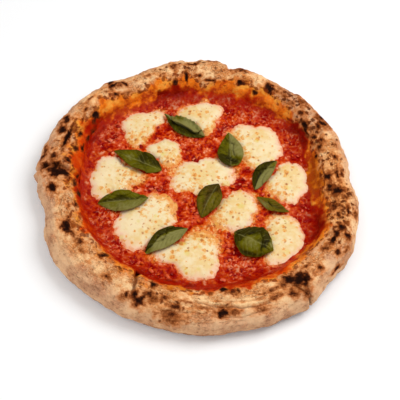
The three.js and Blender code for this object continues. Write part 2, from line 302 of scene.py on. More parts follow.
def finishMaterial(wires, shader, colour, roughness, relief, piece):
    # relief, from 0 to 1, is a share of the piece's bump depth
    bump = wires.node("Bump", Height=relief, Distance=piece["bumpDepth"] * toMetres,
                      Strength=piece["bumpStrength"])
    wires.feed(shader.inputs["Base Color"], colour)
    wires.feed(shader.inputs["Roughness"], roughness)
    wires.feed(shader.inputs["Normal"], bump)
    wires.feed(shader.inputs["Specular IOR Level"], piece["shine"])


def grain(wires, spot, size, detail=2.0, rough=0.5, distortion=0.0):
    # noise from 0 to 1 with lumps `size` mm apart
    return wires.node("TexNoise", Vector=spot, Scale=1 / size, Detail=detail,
                      Roughness=rough, Distortion=distortion)


def crookedCells(wires, spot, size, bendScale, bend, dimensions="3D"):
    # cells `size` mm apart with crooked borders: how far it is to their middles, and a draw for each
    shift = wires.node("TexNoise", output=1, Vector=spot, Scale=bendScale, Detail=3.0)
    shift = wires.node("VectorMath", {"operation": "SCALE"}, i0=shift, i3=bend)
    bent = wires.node("VectorMath", {"operation": "ADD"}, i0=spot, i1=shift)
    cells = wires.node("TexVoronoi", {"voronoi_dimensions": dimensions}, Vector=bent, Scale=1 / size)
    draw = wires.node("SeparateColor", i0=Wire(wires.tree, cells.socket.node.outputs["Color"]))
    return cells, draw


def specksOf(wires, spot, size, more):
    # scattered specks, one in most cells of `size` mm, no two alike: 0 outside them, 1 in their middles
    cells, draw = crookedCells(wires, spot, size, 0.7, 4.0, "2D")
    return (draw * 0.36 - 0.08 + more - cells).step(-0.1, 0.08)


def valueOf(wires, name):
    return wires.node("Attribute", {"attribute_name": name}, output=2)


# ---- the crust

crust = {
    "outerRadius": 149.3,
    "crestHeight": 28,
    "crestInset": 19,
    "widestHeight": 13,
    "footInset": 10,
    "baseHeight": 4,
    "sauceRadius": 106,
    "measuredAt": 0.9,  # share of the outer radius at which mm along the rim are counted
    "columns": 860,
    "rimRows": 92,
    # (angle, by, before, after)
    "outline": [
        (8, -4.5, 7), (22, -1.5, 6), (30, 1, 4), (36, -1.5, 5), (58, -2, 6), (80, -2.5, 1.5),
        (86, 1.5, 3, 6), (113, -4, 8), (126, -4.5, 6), (147, -2.5, 11), (181.5, 2, 4, 1.2),
        (184, -2, 1.2, 8), (197, -7, 9), (238, -1.5, 7), (262, -1.5, 10), (278, 2, 9), (302, 5, 12, 9),
        (314, 6.5, 6, 7), (324, 1, 5), (337, 6, 11), (350, 2, 5), (358, 1.5, 7),
    ],
    "crest": [
        (25, -1.5, 18), (62, -2, 8), (79, -2, 2), (85, 1.5, 2, 9), (123, -3, 8), (150, 1.5, 14),
        (179, 3, 8, 2), (189, -2, 5, 14), (228, 1, 20), (285, -1, 20), (318, 2, 6), (342, 2, 14),
    ],
    "sauceEdge": [
        (0, 3, 25), (50, 14, 35), (98, 7, 22), (140, 12, 22), (333, 12.5, 22), (243, -3, 5),
    ],
    # low lumps under everything else, and the grain of the surface: (mm, size, seed, octaves)
    "lumps": [(1.4, 30, 1), (1.2, 12, 2, 2)],
    "surface": [(0.7, 6, 9, 2), (0.24, 2.2, 10)],
    # (angle, mm up from the sauce, width, height)
    "blisters": [
        (14, 28, 7, 1.4), (40, 30, 10, 1.8), (64, 30, 8, 1.6), (76, 33, 10, 1.8), (104, 36, 9, 1.4),
        (129, 37, 5, 3.2), (157, 30, 9, 2), (174, 28, 11, 2), (186, 30, 5, 1.2), (204, 22, 7, 1.4),
        (150, 9, 4, 1.5), (157, 14, 4.5, 1.6), (163, 8, 4, 1.4), (145, 15, 5, 1.6), (170, 13, 4, 1.2),
        (138, 13, 5, 1.5), (176, 17, 3.5, 1.2), (160, 21, 4, 1.4), (185, 12, 3.5, 1), (128, 12, 4, 1.1),
        (252, 24, 8, 1.8), (264, 30, 10, 1.2), (285, 31, 7, 1.6), (317, 19, 9, 2.4), (345, 30, 10, 2),
    ],
    # small blisters all round: how many, and how their measures range
    "smallBlisters": 150,
    "smallBlisterUp": (12, 58),
    "smallBlisterWidth": (1.8, 5),
    "smallBlisterHeight": (0.25, 1.0),
    # V cuts across the rim: from, to, width, depth at the one end and at the other, darkness, which is
    # painted shade in the groove
    "cuts": [
        ((-112, -2), (-158, 1), 3.2, 4, 6, 0.6), ((-43, -84), (-46, -127), 3.2, 7, 2, 1),
        ((96, -92), (108, -114), 1.5, 3, 3.5, 1), ((106, -112), (115, -138), 1.5, 3.5, 3, 1),
        ((21.5, 128), (23.5, 160), 2, 1, 2.5, 0.3),
    ],
    # charred marks: angle, mm up from the sauce, half length, half width, darkness
    "marks": [
        (73.5, 25, 4, 3.5, 1), (76, 47, 7, 6, 0.65), (61, 33, 5.5, 5.5, 1), (66, 20, 3, 3, 0.9),
        (53, 33, 3, 3, 0.5), (46, 46, 4, 5, 0.5), (42.5, 28, 4, 4, 0.7), (37.5, 22, 6, 3.5, 1),
        (36, 50, 5, 6, 0.75), (33, 44, 4.5, 5, 0.85), (33, 35, 3.5, 3.5, 0.75), (29.5, 23, 3, 3, 0.8),
        (34, 18.5, 8, 1.5, 0.8), (26, 30, 4, 2.5, 0.75), (23.5, 24.5, 3.5, 3, 0.85),
        (20.5, 17.5, 3, 2.2, 0.8), (16, 38, 3, 2, 0.9), (7, 25, 4.5, 4, 1), (7, 37.5, 6, 2.2, 0.9),
        (8, 43, 4, 2, 0.7), (2, 24.5, 4.5, 3.5, 0.85), (10, 21.5, 9, 1.2, 0.65), (57, 42, 3, 2.5, 0.5),
        (49, 30, 2.5, 3, 0.6), (96, 41, 5, 1.8, 0.7), (92.5, 24.5, 2, 2, 0.8),
        (98.7, 24.5, 1.6, 5, 0.95), (103.5, 40.5, 3.5, 4.5, 0.75), (104.5, 19.5, 3.5, 2.8, 0.9),
        (88, 19.5, 6, 1.4, 0.8), (109, 33, 3, 1.6, 0.5), (115, 38, 2.5, 2, 0.5), (127, 37, 4, 3.5, 0.9),
        (131, 39.5, 4.5, 4, 1), (131, 49, 2.5, 7, 0.85), (133, 26, 3, 2.4, 0.85), (133, 34, 3, 3, 0.6),
        (127, 24, 4, 2, 0.6), (143.5, 41.5, 4, 2, 0.65), (146.5, 19.5, 4, 3.5, 1),
        (148.5, 34, 3, 2, 0.65), (154, 29, 6, 1.4, 0.6), (145, 6, 6, 2, 0.55),
        (172.5, 25, 2.2, 2.4, 0.75), (162, 43, 5, 4.5, 1), (157, 45, 4, 5, 0.85),
        (165, 34.5, 14, 2.2, 1), (175, 53, 7, 3, 0.85), (176, 41, 6, 3, 0.7), (168, 22.5, 4.5, 3, 0.85),
        (182.5, 37, 6.5, 7, 1), (183, 29, 5, 5, 1), (180, 48, 4, 5, 0.85), (190, 43, 5, 3.8, 1),
        (210, 35.5, 6, 4.4, 1), (214, 34.5, 6, 2, 0.6), (218.5, 32, 5, 3, 0.6), (200, 30, 2.5, 2, 0.6),
        (198, 21, 4.5, 1.8, 0.75), (191, 12, 5, 4, 0.9), (229.5, 23, 2.6, 5, 0.85),
        (239, 25.5, 4, 1.6, 0.6), (223, 36, 5, 1.6, 0.45), (238, 40, 3.5, 1.8, 0.8),
        (248, 44.5, 1.2, 2.2, 0.8), (253, 45.3, 5, 4, 1), (250.5, 41, 3, 3, 0.95),
        (255.5, 36, 4.5, 2.8, 0.8), (261.5, 36, 3.2, 2.8, 0.8), (255.5, 24, 3.4, 3.4, 1),
        (265.5, 43, 7, 2.2, 0.75), (265, 50, 8, 6, 0.6), (258, 40, 6, 2, 0.6), (283, 45, 8, 3.5, 0.45),
        (257, 41, 7, 3.5, 0.45), (247, 47, 3, 3, 0.4), (283, 45.3, 5, 3, 1), (286.5, 46, 5, 2.5, 0.6),
        (285.5, 22, 3, 4, 1), (288.5, 28, 3.5, 3, 0.8), (279.5, 24, 2.4, 2, 0.7), (291, 28, 2, 2.5, 0.7),
        (277, 40, 6, 1.6, 0.5), (270, 37, 6, 1.6, 0.5), (296, 48, 6, 3, 0.45), (303, 42, 5, 2, 0.6),
        (309, 47, 3, 3, 0.75), (314, 38, 7, 6, 1), (311.5, 34, 6, 4.5, 1), (316, 41, 4, 4, 0.9),
        (313, 50, 3, 5, 0.6), (308, 36, 3, 2.5, 0.7), (320, 33, 4, 1.6, 0.6), (323, 44, 3, 3, 0.7),
        (328, 58, 5, 1.8, 0.85), (304, 36, 8, 1.3, 0.5), (331, 32, 4, 4, 0.65), (336, 33.5, 4, 2.8, 1),
        (338.5, 35, 4, 2.8, 1), (341.5, 38, 3.5, 3, 1), (340, 46, 3, 4.5, 0.9), (332.5, 46, 3, 3, 0.8),
        (350, 42.6, 5, 1.7, 0.95), (349.5, 51, 2.6, 3.4, 0.7), (351, 28, 4, 4, 0.7),
        (347, 33, 2.5, 2, 0.8), (344, 43, 2, 3, 0.6), (335, 52, 2.5, 2, 0.6), (356, 40, 3, 2.5, 0.6),
        (359, 33, 3.5, 5.5, 1), (152, 9, 4, 3.5, 0.7), (149, 16, 4, 3, 0.65), (160, 24, 4, 2.5, 0.85),
        (165, 15, 4, 3, 0.85), (177, 27, 3, 2.5, 0.9), (186, 18, 4.5, 3, 0.9), (181, 12, 3, 2, 0.7),
        (158, 13, 3.5, 2.5, 0.8), (204, 18, 3, 1.5, 0.5), (135, 22, 2.5, 2, 0.55),
        (122, 20, 2.5, 2, 0.5), (112, 14, 3, 2, 0.4),
    ],
    # creases: each a line of (angle, mm up from the sauce), then width and darkness, which is partly
    # painted shade in the crease and partly browning
    "creases": [
        ([(300, 45), (290, 44), (283, 40), (274, 34.5)], 1.1, 0.8),
        ([(306, 37), (296, 36), (284, 35)], 0.8, 0.5), ([(300, 50), (288, 51.5), (279, 48)], 0.8, 0.5),
        ([(299, 39.5), (290, 38), (284, 37)], 0.8, 0.6), ([(172, 37), (163, 34), (155, 35)], 1.1, 0.9),
        ([(142, 6), (139.5, 38)], 0.8, 0.4), ([(200, 52), (218, 46), (232, 44)], 0.8, 0.25),
        ([(262, 56), (275, 53), (290, 55)], 0.8, 0.3),
        ([(196, 36), (200, 40), (205, 39), (208, 33)], 0.8, 0.5), ([(188, 46), (187, 62)], 0.9, 0.4),
        ([(196, 46), (194, 64)], 0.9, 0.35), ([(186, 50), (200, 52), (212, 49), (226, 52)], 0.9, 0.3),
        ([(256, 38), (268, 40), (280, 41)], 0.8, 0.5), ([(258, 30), (270, 31.5), (284, 31)], 0.8, 0.45),
        ([(311, 40), (313, 52), (312.5, 64)], 0.9, 0.9), ([(90, 18.5), (86, 20), (83, 24)], 1.0, 0.8),
        ([(98.5, 16), (98.8, 29)], 0.9, 0.7), ([(317, 20), (300, 26), (286, 28)], 0.7, 0.3),
        ([(118, 12), (117, 24), (113, 29)], 0.9, 0.4),
        ([(144.5, 20), (142, 33), (139, 40), (134.5, 31)], 0.8, 0.45),
        ([(280, 34), (296, 33), (308, 34)], 0.7, 0.4), ([(292, 42), (303, 44), (309, 43)], 0.7, 0.5),
        ([(203, 56), (222, 58), (236, 55)], 0.8, 0.3), ([(190, 52), (205, 48), (214, 45)], 0.8, 0.3),
        ([(262, 48), (270, 46), (277, 44.5)], 0.8, 0.5),
    ],
    # short dry cracks: how many, (angle, spread) of where they lie, and how their measures range
    "cracks": 150,
    "crackZones": [
        (88, 12), (112, 10), (45, 14), (15, 14), (350, 14), (288, 16), (262, 10), (330, 10), (175, 8),
        (215, 14),
    ],
    "crackUp": (24, 50),
    "crackLength": (2, 8),
    "crackDark": (0.25, 0.8),
    "crackWidth": 0.6,
    # how far up the wall oil and tomato have soaked, in mm, and where they are darkest
    "oilReach": 23,
    "oilBumps": [
        (10, -5, 10), (38, -6, 9), (66, 5, 9), (90, -7, 5), (108, 6, 9), (122, -3, 4), (139, 8, 5),
        (156, 9, 7), (172, 9, 7), (211, 2, 9), (240, 3, 6), (256, -3, 6), (280, -2, 8), (300, 2, 12),
        (316, 4, 8),
    ],
    "tomatoReach": 3,
    "tomatoBumps": [
        (38, 13, 11), (68, 10, 7), (85, 6, 5), (107, 17, 10), (154, 23, 11), (173, 20, 10),
        (194, 16, 10), (214, 20, 11), (240, 13, 9), (256, 16, 8), (278, 19, 9), (294, 20, 10),
        (313, 21, 10), (345, 20, 8), (10, -16, 12), (132, -5, 8), (329, -8, 5),
    ],
    "deepBumps": [
        (36, 0.9, 9), (66, 0.1, 6), (108, 0.7, 13), (151, 0.5, 8), (192, 0.4, 5), (246, 0.7, 3),
        (270, 0.32, 20), (300, 0.3, 12), (345, 0.8, 8),
    ],
    "amberBumps": [
        (12, 1, 13), (132, 0.4, 8), (268, 0.7, 14), (329, 0.9, 6),
    ],
    # where the rim is mottled, beside an even share all round
    "mottling": 0.26,
    "mottleBumps": [
        (15, 0.4, 26), (48, 0.5, 16), (345, 0.45, 14), (98, 0.3, 18), (128, 0.3, 8), (166, 0.15, 14),
        (263, 0.2, 10),
    ],
    # where the baked rim is more golden, and where it is more of a brownish mauve
    "goldBumps": [
        (4, 0.9, 20), (350, 0.5, 12), (264, 0.6, 7), (300, 0.2, 12), (74, 0.4, 12), (110, 0.4, 9),
        (139.5, 0.9, 3.5),
    ],
    "mauveBumps": [
        (42, 0.8, 13), (57, 0.4, 6), (164, 0.3, 12), (182, 0.3, 7), (332, 0.5, 8), (130, 0.4, 6),
    ],
    # the same, on the outer side only
    "greyBumps": [
        (192, 1.3, 16), (158, 0.5, 14), (236, 0.5, 12), (290, 0.4, 16), (345, 0.4, 12), (6, 1.4, 22),
    ],
    "seed": 11,
    # the noise in its colours: (size, detail, roughness)
    "grains": [(15, 3.0), (4.2, 4.0, 0.6), (1.7, 3.0, 0.6), (0.7, 2.0, 0.6)],
    "shine": 0.03,
    "bumpDepth": 1.2,
    "bumpStrength": 0.8,
    "tints": {
        "pale": (255, 210, 154), "tan": (240, 172, 112), "gold": (218, 130, 68), "brown": (148, 76, 34),
        "darkBrown": (88, 40, 20), "char": (34, 20, 16), "warmGold": (238, 158, 88),
        "mauve": (196, 140, 114), "lip": (254, 216, 160), "scorch": (112, 38, 12),
        "flour": (234, 186, 144), "flourShade": (198, 146, 114), "underside": (120, 68, 46),
        "oil": (242, 120, 20), "oilLight": (255, 174, 70), "oilShade": (178, 54, 0),
        "amber": (226, 122, 24), "amberShade": (166, 68, 0), "wallLight": (226, 100, 44),
        "wallRed": (214, 66, 4), "wallDeep": (168, 24, 0), "wallShade": (116, 8, 0),
    },
}

mmPerDegree = crust["outerRadius"] * crust["measuredAt"] * math.pi / 180


def outerRadiusAt(angle):
    return crust["outerRadius"] + bumpsAt(angle, crust["outline"])


def sauceRadiusAt(angle):
    return crust["sauceRadius"] + bumpsAt(angle, crust["sauceEdge"])


def sectionTable():
    # the rim's mean section, from the sauce line over the crest to the foot: length, radius, height
    quarter = np.linspace(0, math.pi / 2, 200)
    crest = crust["outerRadius"] - crust["crestInset"]
    base, widest, top = crust["baseHeight"], crust["widestHeight"], crust["crestHeight"]
    inner = np.stack([crest - (crest - crust["sauceRadius"]) * np.cos(quarter),
                      base + (top - base) * np.sin(quarter)], 1)
    outer = np.stack([crest + crust["crestInset"] * np.sin(quarter),
                      widest + (top - widest) * np.cos(quarter)], 1)
    foot = np.stack([crust["outerRadius"] - crust["footInset"] * (1 - np.cos(quarter)),
                     widest * (1 - np.sin(quarter))], 1)
    line = np.concatenate([inner, outer[1:], foot[1:]])
    steps = np.hypot(*np.diff(line, axis=0).T)
    return np.concatenate([[0], np.cumsum(steps)]), line[:, 0], line[:, 1]


def placeRim(mesh, up):
    # stretches the mean section to the rim's form at each angle
    angle = (readPoints(mesh)[:, 0] + 0.5) * 360
    lengths, radii, heights = sectionTable()
    rimLength = lengths[-1]
    distance = np.where(up < 0, crust["sauceRadius"] + up, np.interp(up, lengths, radii))
    distance = np.where(up > rimLength, radii[-1] - (up - rimLength), distance)
    height = np.where(up > rimLength, 0, np.interp(up, lengths, heights))
    inner = sauceRadiusAt(angle)
    outer = outerRadiusAt(angle)
    meanWidth = crust["outerRadius"] - crust["sauceRadius"]
    across = (distance - crust["sauceRadius"]) / meanWidth
    radius = np.where(across > 0, inner + across * (outer - inner),
                      distance * inner / crust["sauceRadius"])
    base = crust["baseHeight"]
    rise = 1 + bumpsAt(angle, crust["crest"]) / (crust["crestHeight"] - base)
    height = np.where(height > base, base + (height - base) * rise, height)
    writePoints(mesh, flat(*spotAt(radius, angle), height))


def rimSheet():
    # the whole skin of the dough, and how far up the section each of its vertices is
    lengths, radii, _ = sectionTable()
    rimLength = lengths[-1]
    # a few rows under the sauce, those of the rim, and a few under the dough
    rows = np.concatenate([
        [-crust["sauceRadius"], -70, -30, -8, -3],
        np.linspace(0, rimLength, crust["rimRows"]),
        rimLength + np.array([15, 60, radii[-1]]),
    ])
    mesh = gridMesh("crust", crust["columns"], len(rows) - 1)
    share = readPoints(mesh)[:, 1] + 0.5
    up = np.interp(share * (len(rows) - 1), np.arange(len(rows)), rows)
    writeNumbers(mesh, "up", "FLOAT", "value", up)
    placeRim(mesh, up)
    editMesh(mesh, mergeSeams)
    up = readNumbers(mesh.attributes["up"].data, "value", 1)[:, 0]
    mesh.attributes.remove(mesh.attributes["up"])
    return mesh, up, rimLength


def blistersOn(angle, up, random):
    blisters = list(crust["blisters"])
    for _ in range(crust["smallBlisters"]):
        blisters.append((random.uniform(0, 360), random.uniform(*crust["smallBlisterUp"]),
                         random.uniform(*crust["smallBlisterWidth"]),
                         random.uniform(*crust["smallBlisterHeight"])))
    relief = np.zeros_like(up)
    for at, middle, wide, high in blisters:
        away = np.hypot(turnFrom(at, angle) * mmPerDegree, up - middle) / wide
        relief = np.maximum(relief, high * bell(away))
    return relief


def creasesOn(angle, up, random):
    # creases and cracks, and the lips that stand up above the creases
    along = angle * mmPerDegree
    crease = np.zeros_like(up)
    lip = np.zeros_like(up)
    for line, wide, dark in crust["creases"]:
        for start, end in zip(line, line[1:]):
            start, end = (start[0] * mmPerDegree, start[1]), (end[0] * mmPerDegree, end[1])
            away, _ = segmentDistance(along, up, start, end)
            crease = np.maximum(crease, dark * bell(away / wide))
            away, _ = segmentDistance(along, up + 2.2 * wide, start, end)
            lip = np.maximum(lip, dark * bell(away / (1.3 * wide)))
    for _ in range(crust["cracks"]):
        at, spread = crust["crackZones"][random.integers(len(crust["crackZones"]))]
        start = np.array((random.normal(at, spread) * mmPerDegree, random.uniform(*crust["crackUp"])))
        end = start + random.uniform(*crust["crackLength"]) * np.array((1, random.uniform(-0.6, 0.6)))
        away, _ = segmentDistance(along, up, start, end)
        dark = random.uniform(*crust["crackDark"])
        crease = np.maximum(crease, dark * bell(away / crust["crackWidth"]))
    return crease, lip


def cutsThrough(points):
    # how dark and how deep the cuts are
    cut = np.zeros(len(points))
    cutDepth = np.zeros(len(points))
    x = points[:, 0] + 0.8 * noiseAt(points, 6, 14)
    for start, end, wide, depth, endDepth, dark in crust["cuts"]:
        away, along = segmentDistance(x, points[:, 1], start, end)
        groove = np.clip(1 - away / wide, 0, 1)
        cut = np.maximum(cut, dark * smoothStep(0, 0.9, groove))
        cutDepth = np.maximum(cutDepth, groove * (depth + (endDepth - depth) * along))
    return cut, cutDepth


def marksOn(angle, up, warp):
    # how strongly the darkest of the marks shows at each point, and a wider halo round it
    dark = np.zeros_like(angle)
    halo = np.zeros_like(angle)
    for at, middle, long, wide, strength in crust["marks"]:
        away = np.hypot(turnFrom(at, angle) * mmPerDegree / long, (up - middle) / wide)
        away = away + warp * (0.4 + 0.3 * away)
        dark = np.maximum(dark, strength * smoothStep(1.9, 0.1, away))
        halo = np.maximum(halo, (0.4 + 0.6 * strength) * smoothStep(3.2, 0.6, away))
    return dark, halo


def soaking(points, angle, up):
    # how strongly oil and tomato have soaked in, and how deep and how amber their colours are
    edge = noiseSum(points, [(1, 12, 12, 3), (0.4, 5, 16, 2)])
    oilLine = crust["oilReach"] + bumpsAt(angle, crust["oilBumps"]) + 9 * edge
    tomatoLine = crust["tomatoReach"] + bumpsAt(angle, crust["tomatoBumps"]) + 8 * edge
    wander = 0.5 * noiseAt(points, 9, 18)
    drips = noiseAt(flat(angle * mmPerDegree / 11 + wander, up / 16), 1, 17, 3)
    onWall = 0.6 * smoothStep(1, 12, up)
    streak = 0.5 + 0.9 * ((1 - onWall) * noiseAt(points, 7, 13, 3) + onWall * drips)
    streak += 0.25 * smoothStep(16, 4, up) - 0.25 * smoothStep(11, 22, up)
    return {
        "oil": smoothStep(1, -1, (up - oilLine) / 10),
        "tomato": smoothStep(1, -1, (up - tomatoLine) / 8),
        "streak": streak,
        "deep": 0.4 + bumpsAt(angle, crust["deepBumps"]) + 0.5 * (streak - 0.5) - 0.012 * up,
        "amber": bumpsAt(angle, crust["amberBumps"]) + 0.3 * edge,
    }


def makeCrust():
    mesh, up, rimLength = rimSheet()
    points = readPoints(mesh)
    angle = angleOf(points[:, 0], points[:, 1])
    rim = smoothStep(0.5, 8, up) * smoothStep(rimLength - 1, rimLength - 16, up)
    mottling = crust["mottling"] + bumpsAt(angle, crust["mottleBumps"])
    random = np.random.default_rng(crust["seed"])

    # low lumps first, then blisters, wrinkles and grain on the new surface
    points += readNormals(mesh) * (rim * noiseSum(points, crust["lumps"]))[:, None]
    writePoints(mesh, points)
    relief = blistersOn(angle, up, random)
    along = angle * mmPerDegree
    wrinkle = bell(noiseAt(flat(along / 9, up / 2.6), 1, 3, 2) / 0.09)
    folds = bell(noiseAt(flat(along / 26, up / 8), 1, 15, 2) / 0.1) * smoothStep(24, 34, up)
    crackle = bell(noiseAt(points, 5.5, 4, 2) / 0.07)
    crease, lip = creasesOn(angle, up + 1.2 * noiseAt(points, 7, 5), random)
    lip *= 1 - crease
    cut, cutDepth = cutsThrough(points)
    char, halo = marksOn(angle, up, noiseAt(points, 4, 6, 3))
    patches = smoothStep(0.3, 0.8, noiseAt(points, 5, 7, 3) + 0.45 * mottling)
    relief += noiseSum(points, crust["surface"])
    relief -= 0.55 * wrinkle * (0.4 + 0.5 * noiseAt(points, 25, 11))
    relief -= 0.35 * crackle * smoothStep(55, 40, up)
    relief += 1.3 * lip - 2.0 * crease - cutDepth - 0.7 * folds
    relief += 0.5 * char - 0.7 * smoothStep(0.75, 1, char)
    points += readNormals(mesh) * (rim * relief)[:, None]
    writePoints(mesh, points)

    edge = noiseAt(points, 12, 12, 3)
    bare = smoothStep(50, 36, up)
    warm = bumpsAt(angle, crust["goldBumps"]) - bumpsAt(angle, crust["mauveBumps"])
    warm -= bumpsAt(angle, crust["greyBumps"]) * smoothStep(38, 50, up)
    writeValues(
        mesh, **soaking(points, angle, up), char=char, mottling=mottling, lip=lip,
        toast=0.68 * halo + 0.5 * patches * mottling * smoothStep(62, 50, up),
        crease=np.maximum.reduce([crease, cut, 0.35 * crackle * bare, 0.3 * wrinkle * bare, 0.3 * folds]),
        flour=smoothStep(34, 60, up + 6 * edge) * (1.1 - 0.6 * mottling),
        warm=0.5 + 0.5 * warm + 0.25 * edge)
    # a spot that changes only along the rim and up it, for fine lines that run round
    onCrest = spotAt(crust["outerRadius"] - crust["crestInset"], angle)
    writeNumbers(mesh, "rimSpot", "FLOAT_VECTOR", "vector", flat(*onCrest, up))
    return finishPiece(mesh, crustMaterial(), "dough", "dough")


def soakedColour(wires, dry, middle, small):
    # the wall above the sauce, stained with oil and then with tomato
    tints = tintsOf(crust)
    streak = valueOf(wires, "streak")
    shade = streak + middle.swing(0.8) + small.swing(1.0)
    light = streak - middle.swing(0.9) - small.swing(1.0)
    amberShade = (streak * 0.6 + middle * 0.4).step(0.3, 0.75)
    amber = wires.layers(tints["amber"], (amberShade, tints["amberShade"]))
    orange = wires.layers(
        tints["oil"],
        (shade.step(0.25, 0.9), tints["oilShade"]),
        (light.step(0.42, 0.0) * 0.75, tints["oilLight"]),
        (valueOf(wires, "amber").step(0.2, 0.9), amber))
    deep = valueOf(wires, "deep") + middle.swing(0.6) + small.swing(0.4)
    pulp = middle * 0.5 + small * 0.5 - deep.swing(0.08)
    red = wires.layers(
        tints["wallRed"],
        (deep.step(0.1, 0.6), tints["wallDeep"]),
        (deep.step(0.7, 1.15), tints["wallShade"]),
        (pulp.step(0.52, 0.66) * 0.5, tints["wallLight"]),
        (pulp.step(0.46, 0.34) * 0.5, tints["wallShade"]))
    oil = valueOf(wires, "oil") + middle.swing(0.7) + small.swing(0.5)
    tomato = (valueOf(wires, "tomato") + middle.swing(0.6) + streak.swing(0.5)).step(0.1, 0.95)
    return wires.layers(
        dry,
        (oil.step(0.0, 0.5) * 0.6, tints["gold"]),
        (oil.step(0.3, 0.9) * 0.94, orange),
        (tomato * 0.95, red))


def bakedColour(wires, spot, broad, middle, small, fine):
    # the dry dough with its flour, and a net of fine wrinkles, pale between them
    tints = tintsOf(crust)
    floured = valueOf(wires, "flour")
    flour = wires.layers(tints["flour"], ((broad + small.swing(0.3)).step(0.35, 0.7), tints["flourShade"]))
    warm = valueOf(wires, "warm") + middle.swing(0.5)
    net = grain(wires, spot, 4.2, 3.5, 0.6, 1.6).fromHalf()
    netted = (broad - middle.swing(0.6)).step(0.3, 0.6) * (1 - floured * 0.85)
    return wires.layers(
        tints["pale"],
        (broad.step(0.35, 0.65), tints["tan"]),
        ((middle + broad.swing(0.8)).step(0.42, 0.68) * 0.8, tints["gold"]),
        (warm.step(0.5, 1.0) * 0.75, tints["warmGold"]),
        (warm.step(0.5, 0.05) * 0.65, tints["mauve"]),
        ((floured + middle.swing(0.4)).step(0.1, 1.0) * 0.85, flour),
        # painted highlight: the lips that stand above the creases are made paler
        ((valueOf(wires, "lip") + middle.swing(0.4)).step(0.1, 0.7) * 0.6, tints["lip"]),
        (net.step(0.04, 0.14) * netted * 0.42, tints["lip"]),
        (net.step(0.05, 0.01) * netted * 0.5, tints["brown"]),
        ((small + fine.swing(0.8)).step(0.5, 0.3) * 0.25, tints["gold"]))


def creaseLines(wires, spot, broad, middle, fine, plain):
    # the creases of the mesh, threads that run round the rim, and a fine crackle, darkened partly as
    # painted shade in them and partly as browning
    onRim = wires.node("Attribute", {"attribute_name": "rimSpot"}, output=1)
    long = wires.node("Mapping", i0=onRim, i3=(1 / 10, 1 / 10, 1 / 2.2))
    lines = wires.node("TexNoise", Vector=long, Scale=1.0, Detail=3.0, Roughness=0.55)
    thread = lines.fromHalf().step(0.03, 0.0) * (broad + middle.swing(1)).step(0.42, 0.62)
    web = grain(wires, spot, 7, 3.0, 0.6)
    crackle = web.fromHalf().step(0.022, 0.0) * (broad - middle.swing(1)).step(0.46, 0.6)
    crackle = crackle * plain * (1 - valueOf(wires, "flour") * 0.8)
    crease = (valueOf(wires, "crease") * (0.6 + fine * 0.8)).step(0.2, 1.0)
    crease = wires.math("MAXIMUM", crease, thread * plain * 0.7)
    return wires.math("MAXIMUM", crease, crackle * 0.8)


def crustMaterial():
    material, wires, shader, spot = startMaterial("bakedCrust")
    tints = tintsOf(crust)
    broad, middle, small, fine = [grain(wires, spot, *each) for each in crust["grains"]]
    dry = bakedColour(wires, spot, broad, middle, small, fine)
    toast = valueOf(wires, "toast") + middle.swing(0.5) + small.swing(0.35)
    dry = wires.layers(dry, (toast.step(0.1, 0.5) * 0.65, tints["gold"]),
                       (toast.step(0.3, 0.9) * 0.8, tints["brown"]))

    # leopard spots: some cells hold a small burnt blister, and so do some at the border of the oil
    cells, draw = crookedCells(wires, spot, 4.6, 1 / 3, 6.0)
    burning = draw * 0.9 - cells
    oil = valueOf(wires, "oil")
    plain = 1 - oil * 0.8
    share = valueOf(wires, "mottling") * plain * (1 - valueOf(wires, "flour") * 0.7)
    blister = burning + (share - 0.55) * 1.1 + small.swing(0.5) + broad.swing(0.6)
    border = oil.step(0.05, 0.4) * oil.step(1.0, 0.75)
    scorch = burning + (border - 0.78) + small.swing(0.6) + middle.swing(0.5)

    crease = creaseLines(wires, spot, broad, middle, fine, plain)
    char = valueOf(wires, "char") + middle.swing(0.65) + small.swing(0.65) + fine.swing(0.4)
    scorched = wires.layers(tints["brown"], (oil.step(0.3, 0.8), tints["scorch"]))
    # the browned underside, carried up the foot as a darker band that is partly painted shade where the
    # crust meets the floor
    height = wires.node("SeparateXYZ", output=2, i0=spot)
    foot = (height + broad.swing(9) + middle.swing(4)).step(11.0, 5.0)
    colour = wires.layers(
        soakedColour(wires, dry, middle, small),
        (toast.step(0.65, 1.15) * 0.85, tints["darkBrown"]),
        (blister.step(0.05, 0.35) * 0.6, tints["brown"]),
        (blister.step(0.25, 0.5) * 0.85, tints["darkBrown"]),
        (scorch.step(0.08, 0.4) * 0.75, tints["scorch"]),
        # painted shade, with some browning, in the creases, cuts, cracks and threads
        (crease * 0.75, tints["darkBrown"]),
        (char.step(0.05, 0.5) * 0.7, scorched),
        (char.step(0.28, 0.75) * 0.9, tints["darkBrown"]),
        (char.step(0.48, 0.95) * 0.95, tints["char"]),
        (foot * 0.9, tints["underside"]))
    relief = middle * 0.4 + small * 0.35 + fine * 0.25 - crease * 0.4
    finishMaterial(wires, shader, colour, 0.8 - oil * 0.38 + fine * 0.1, relief, crust)
    return material


# ---- the sauce

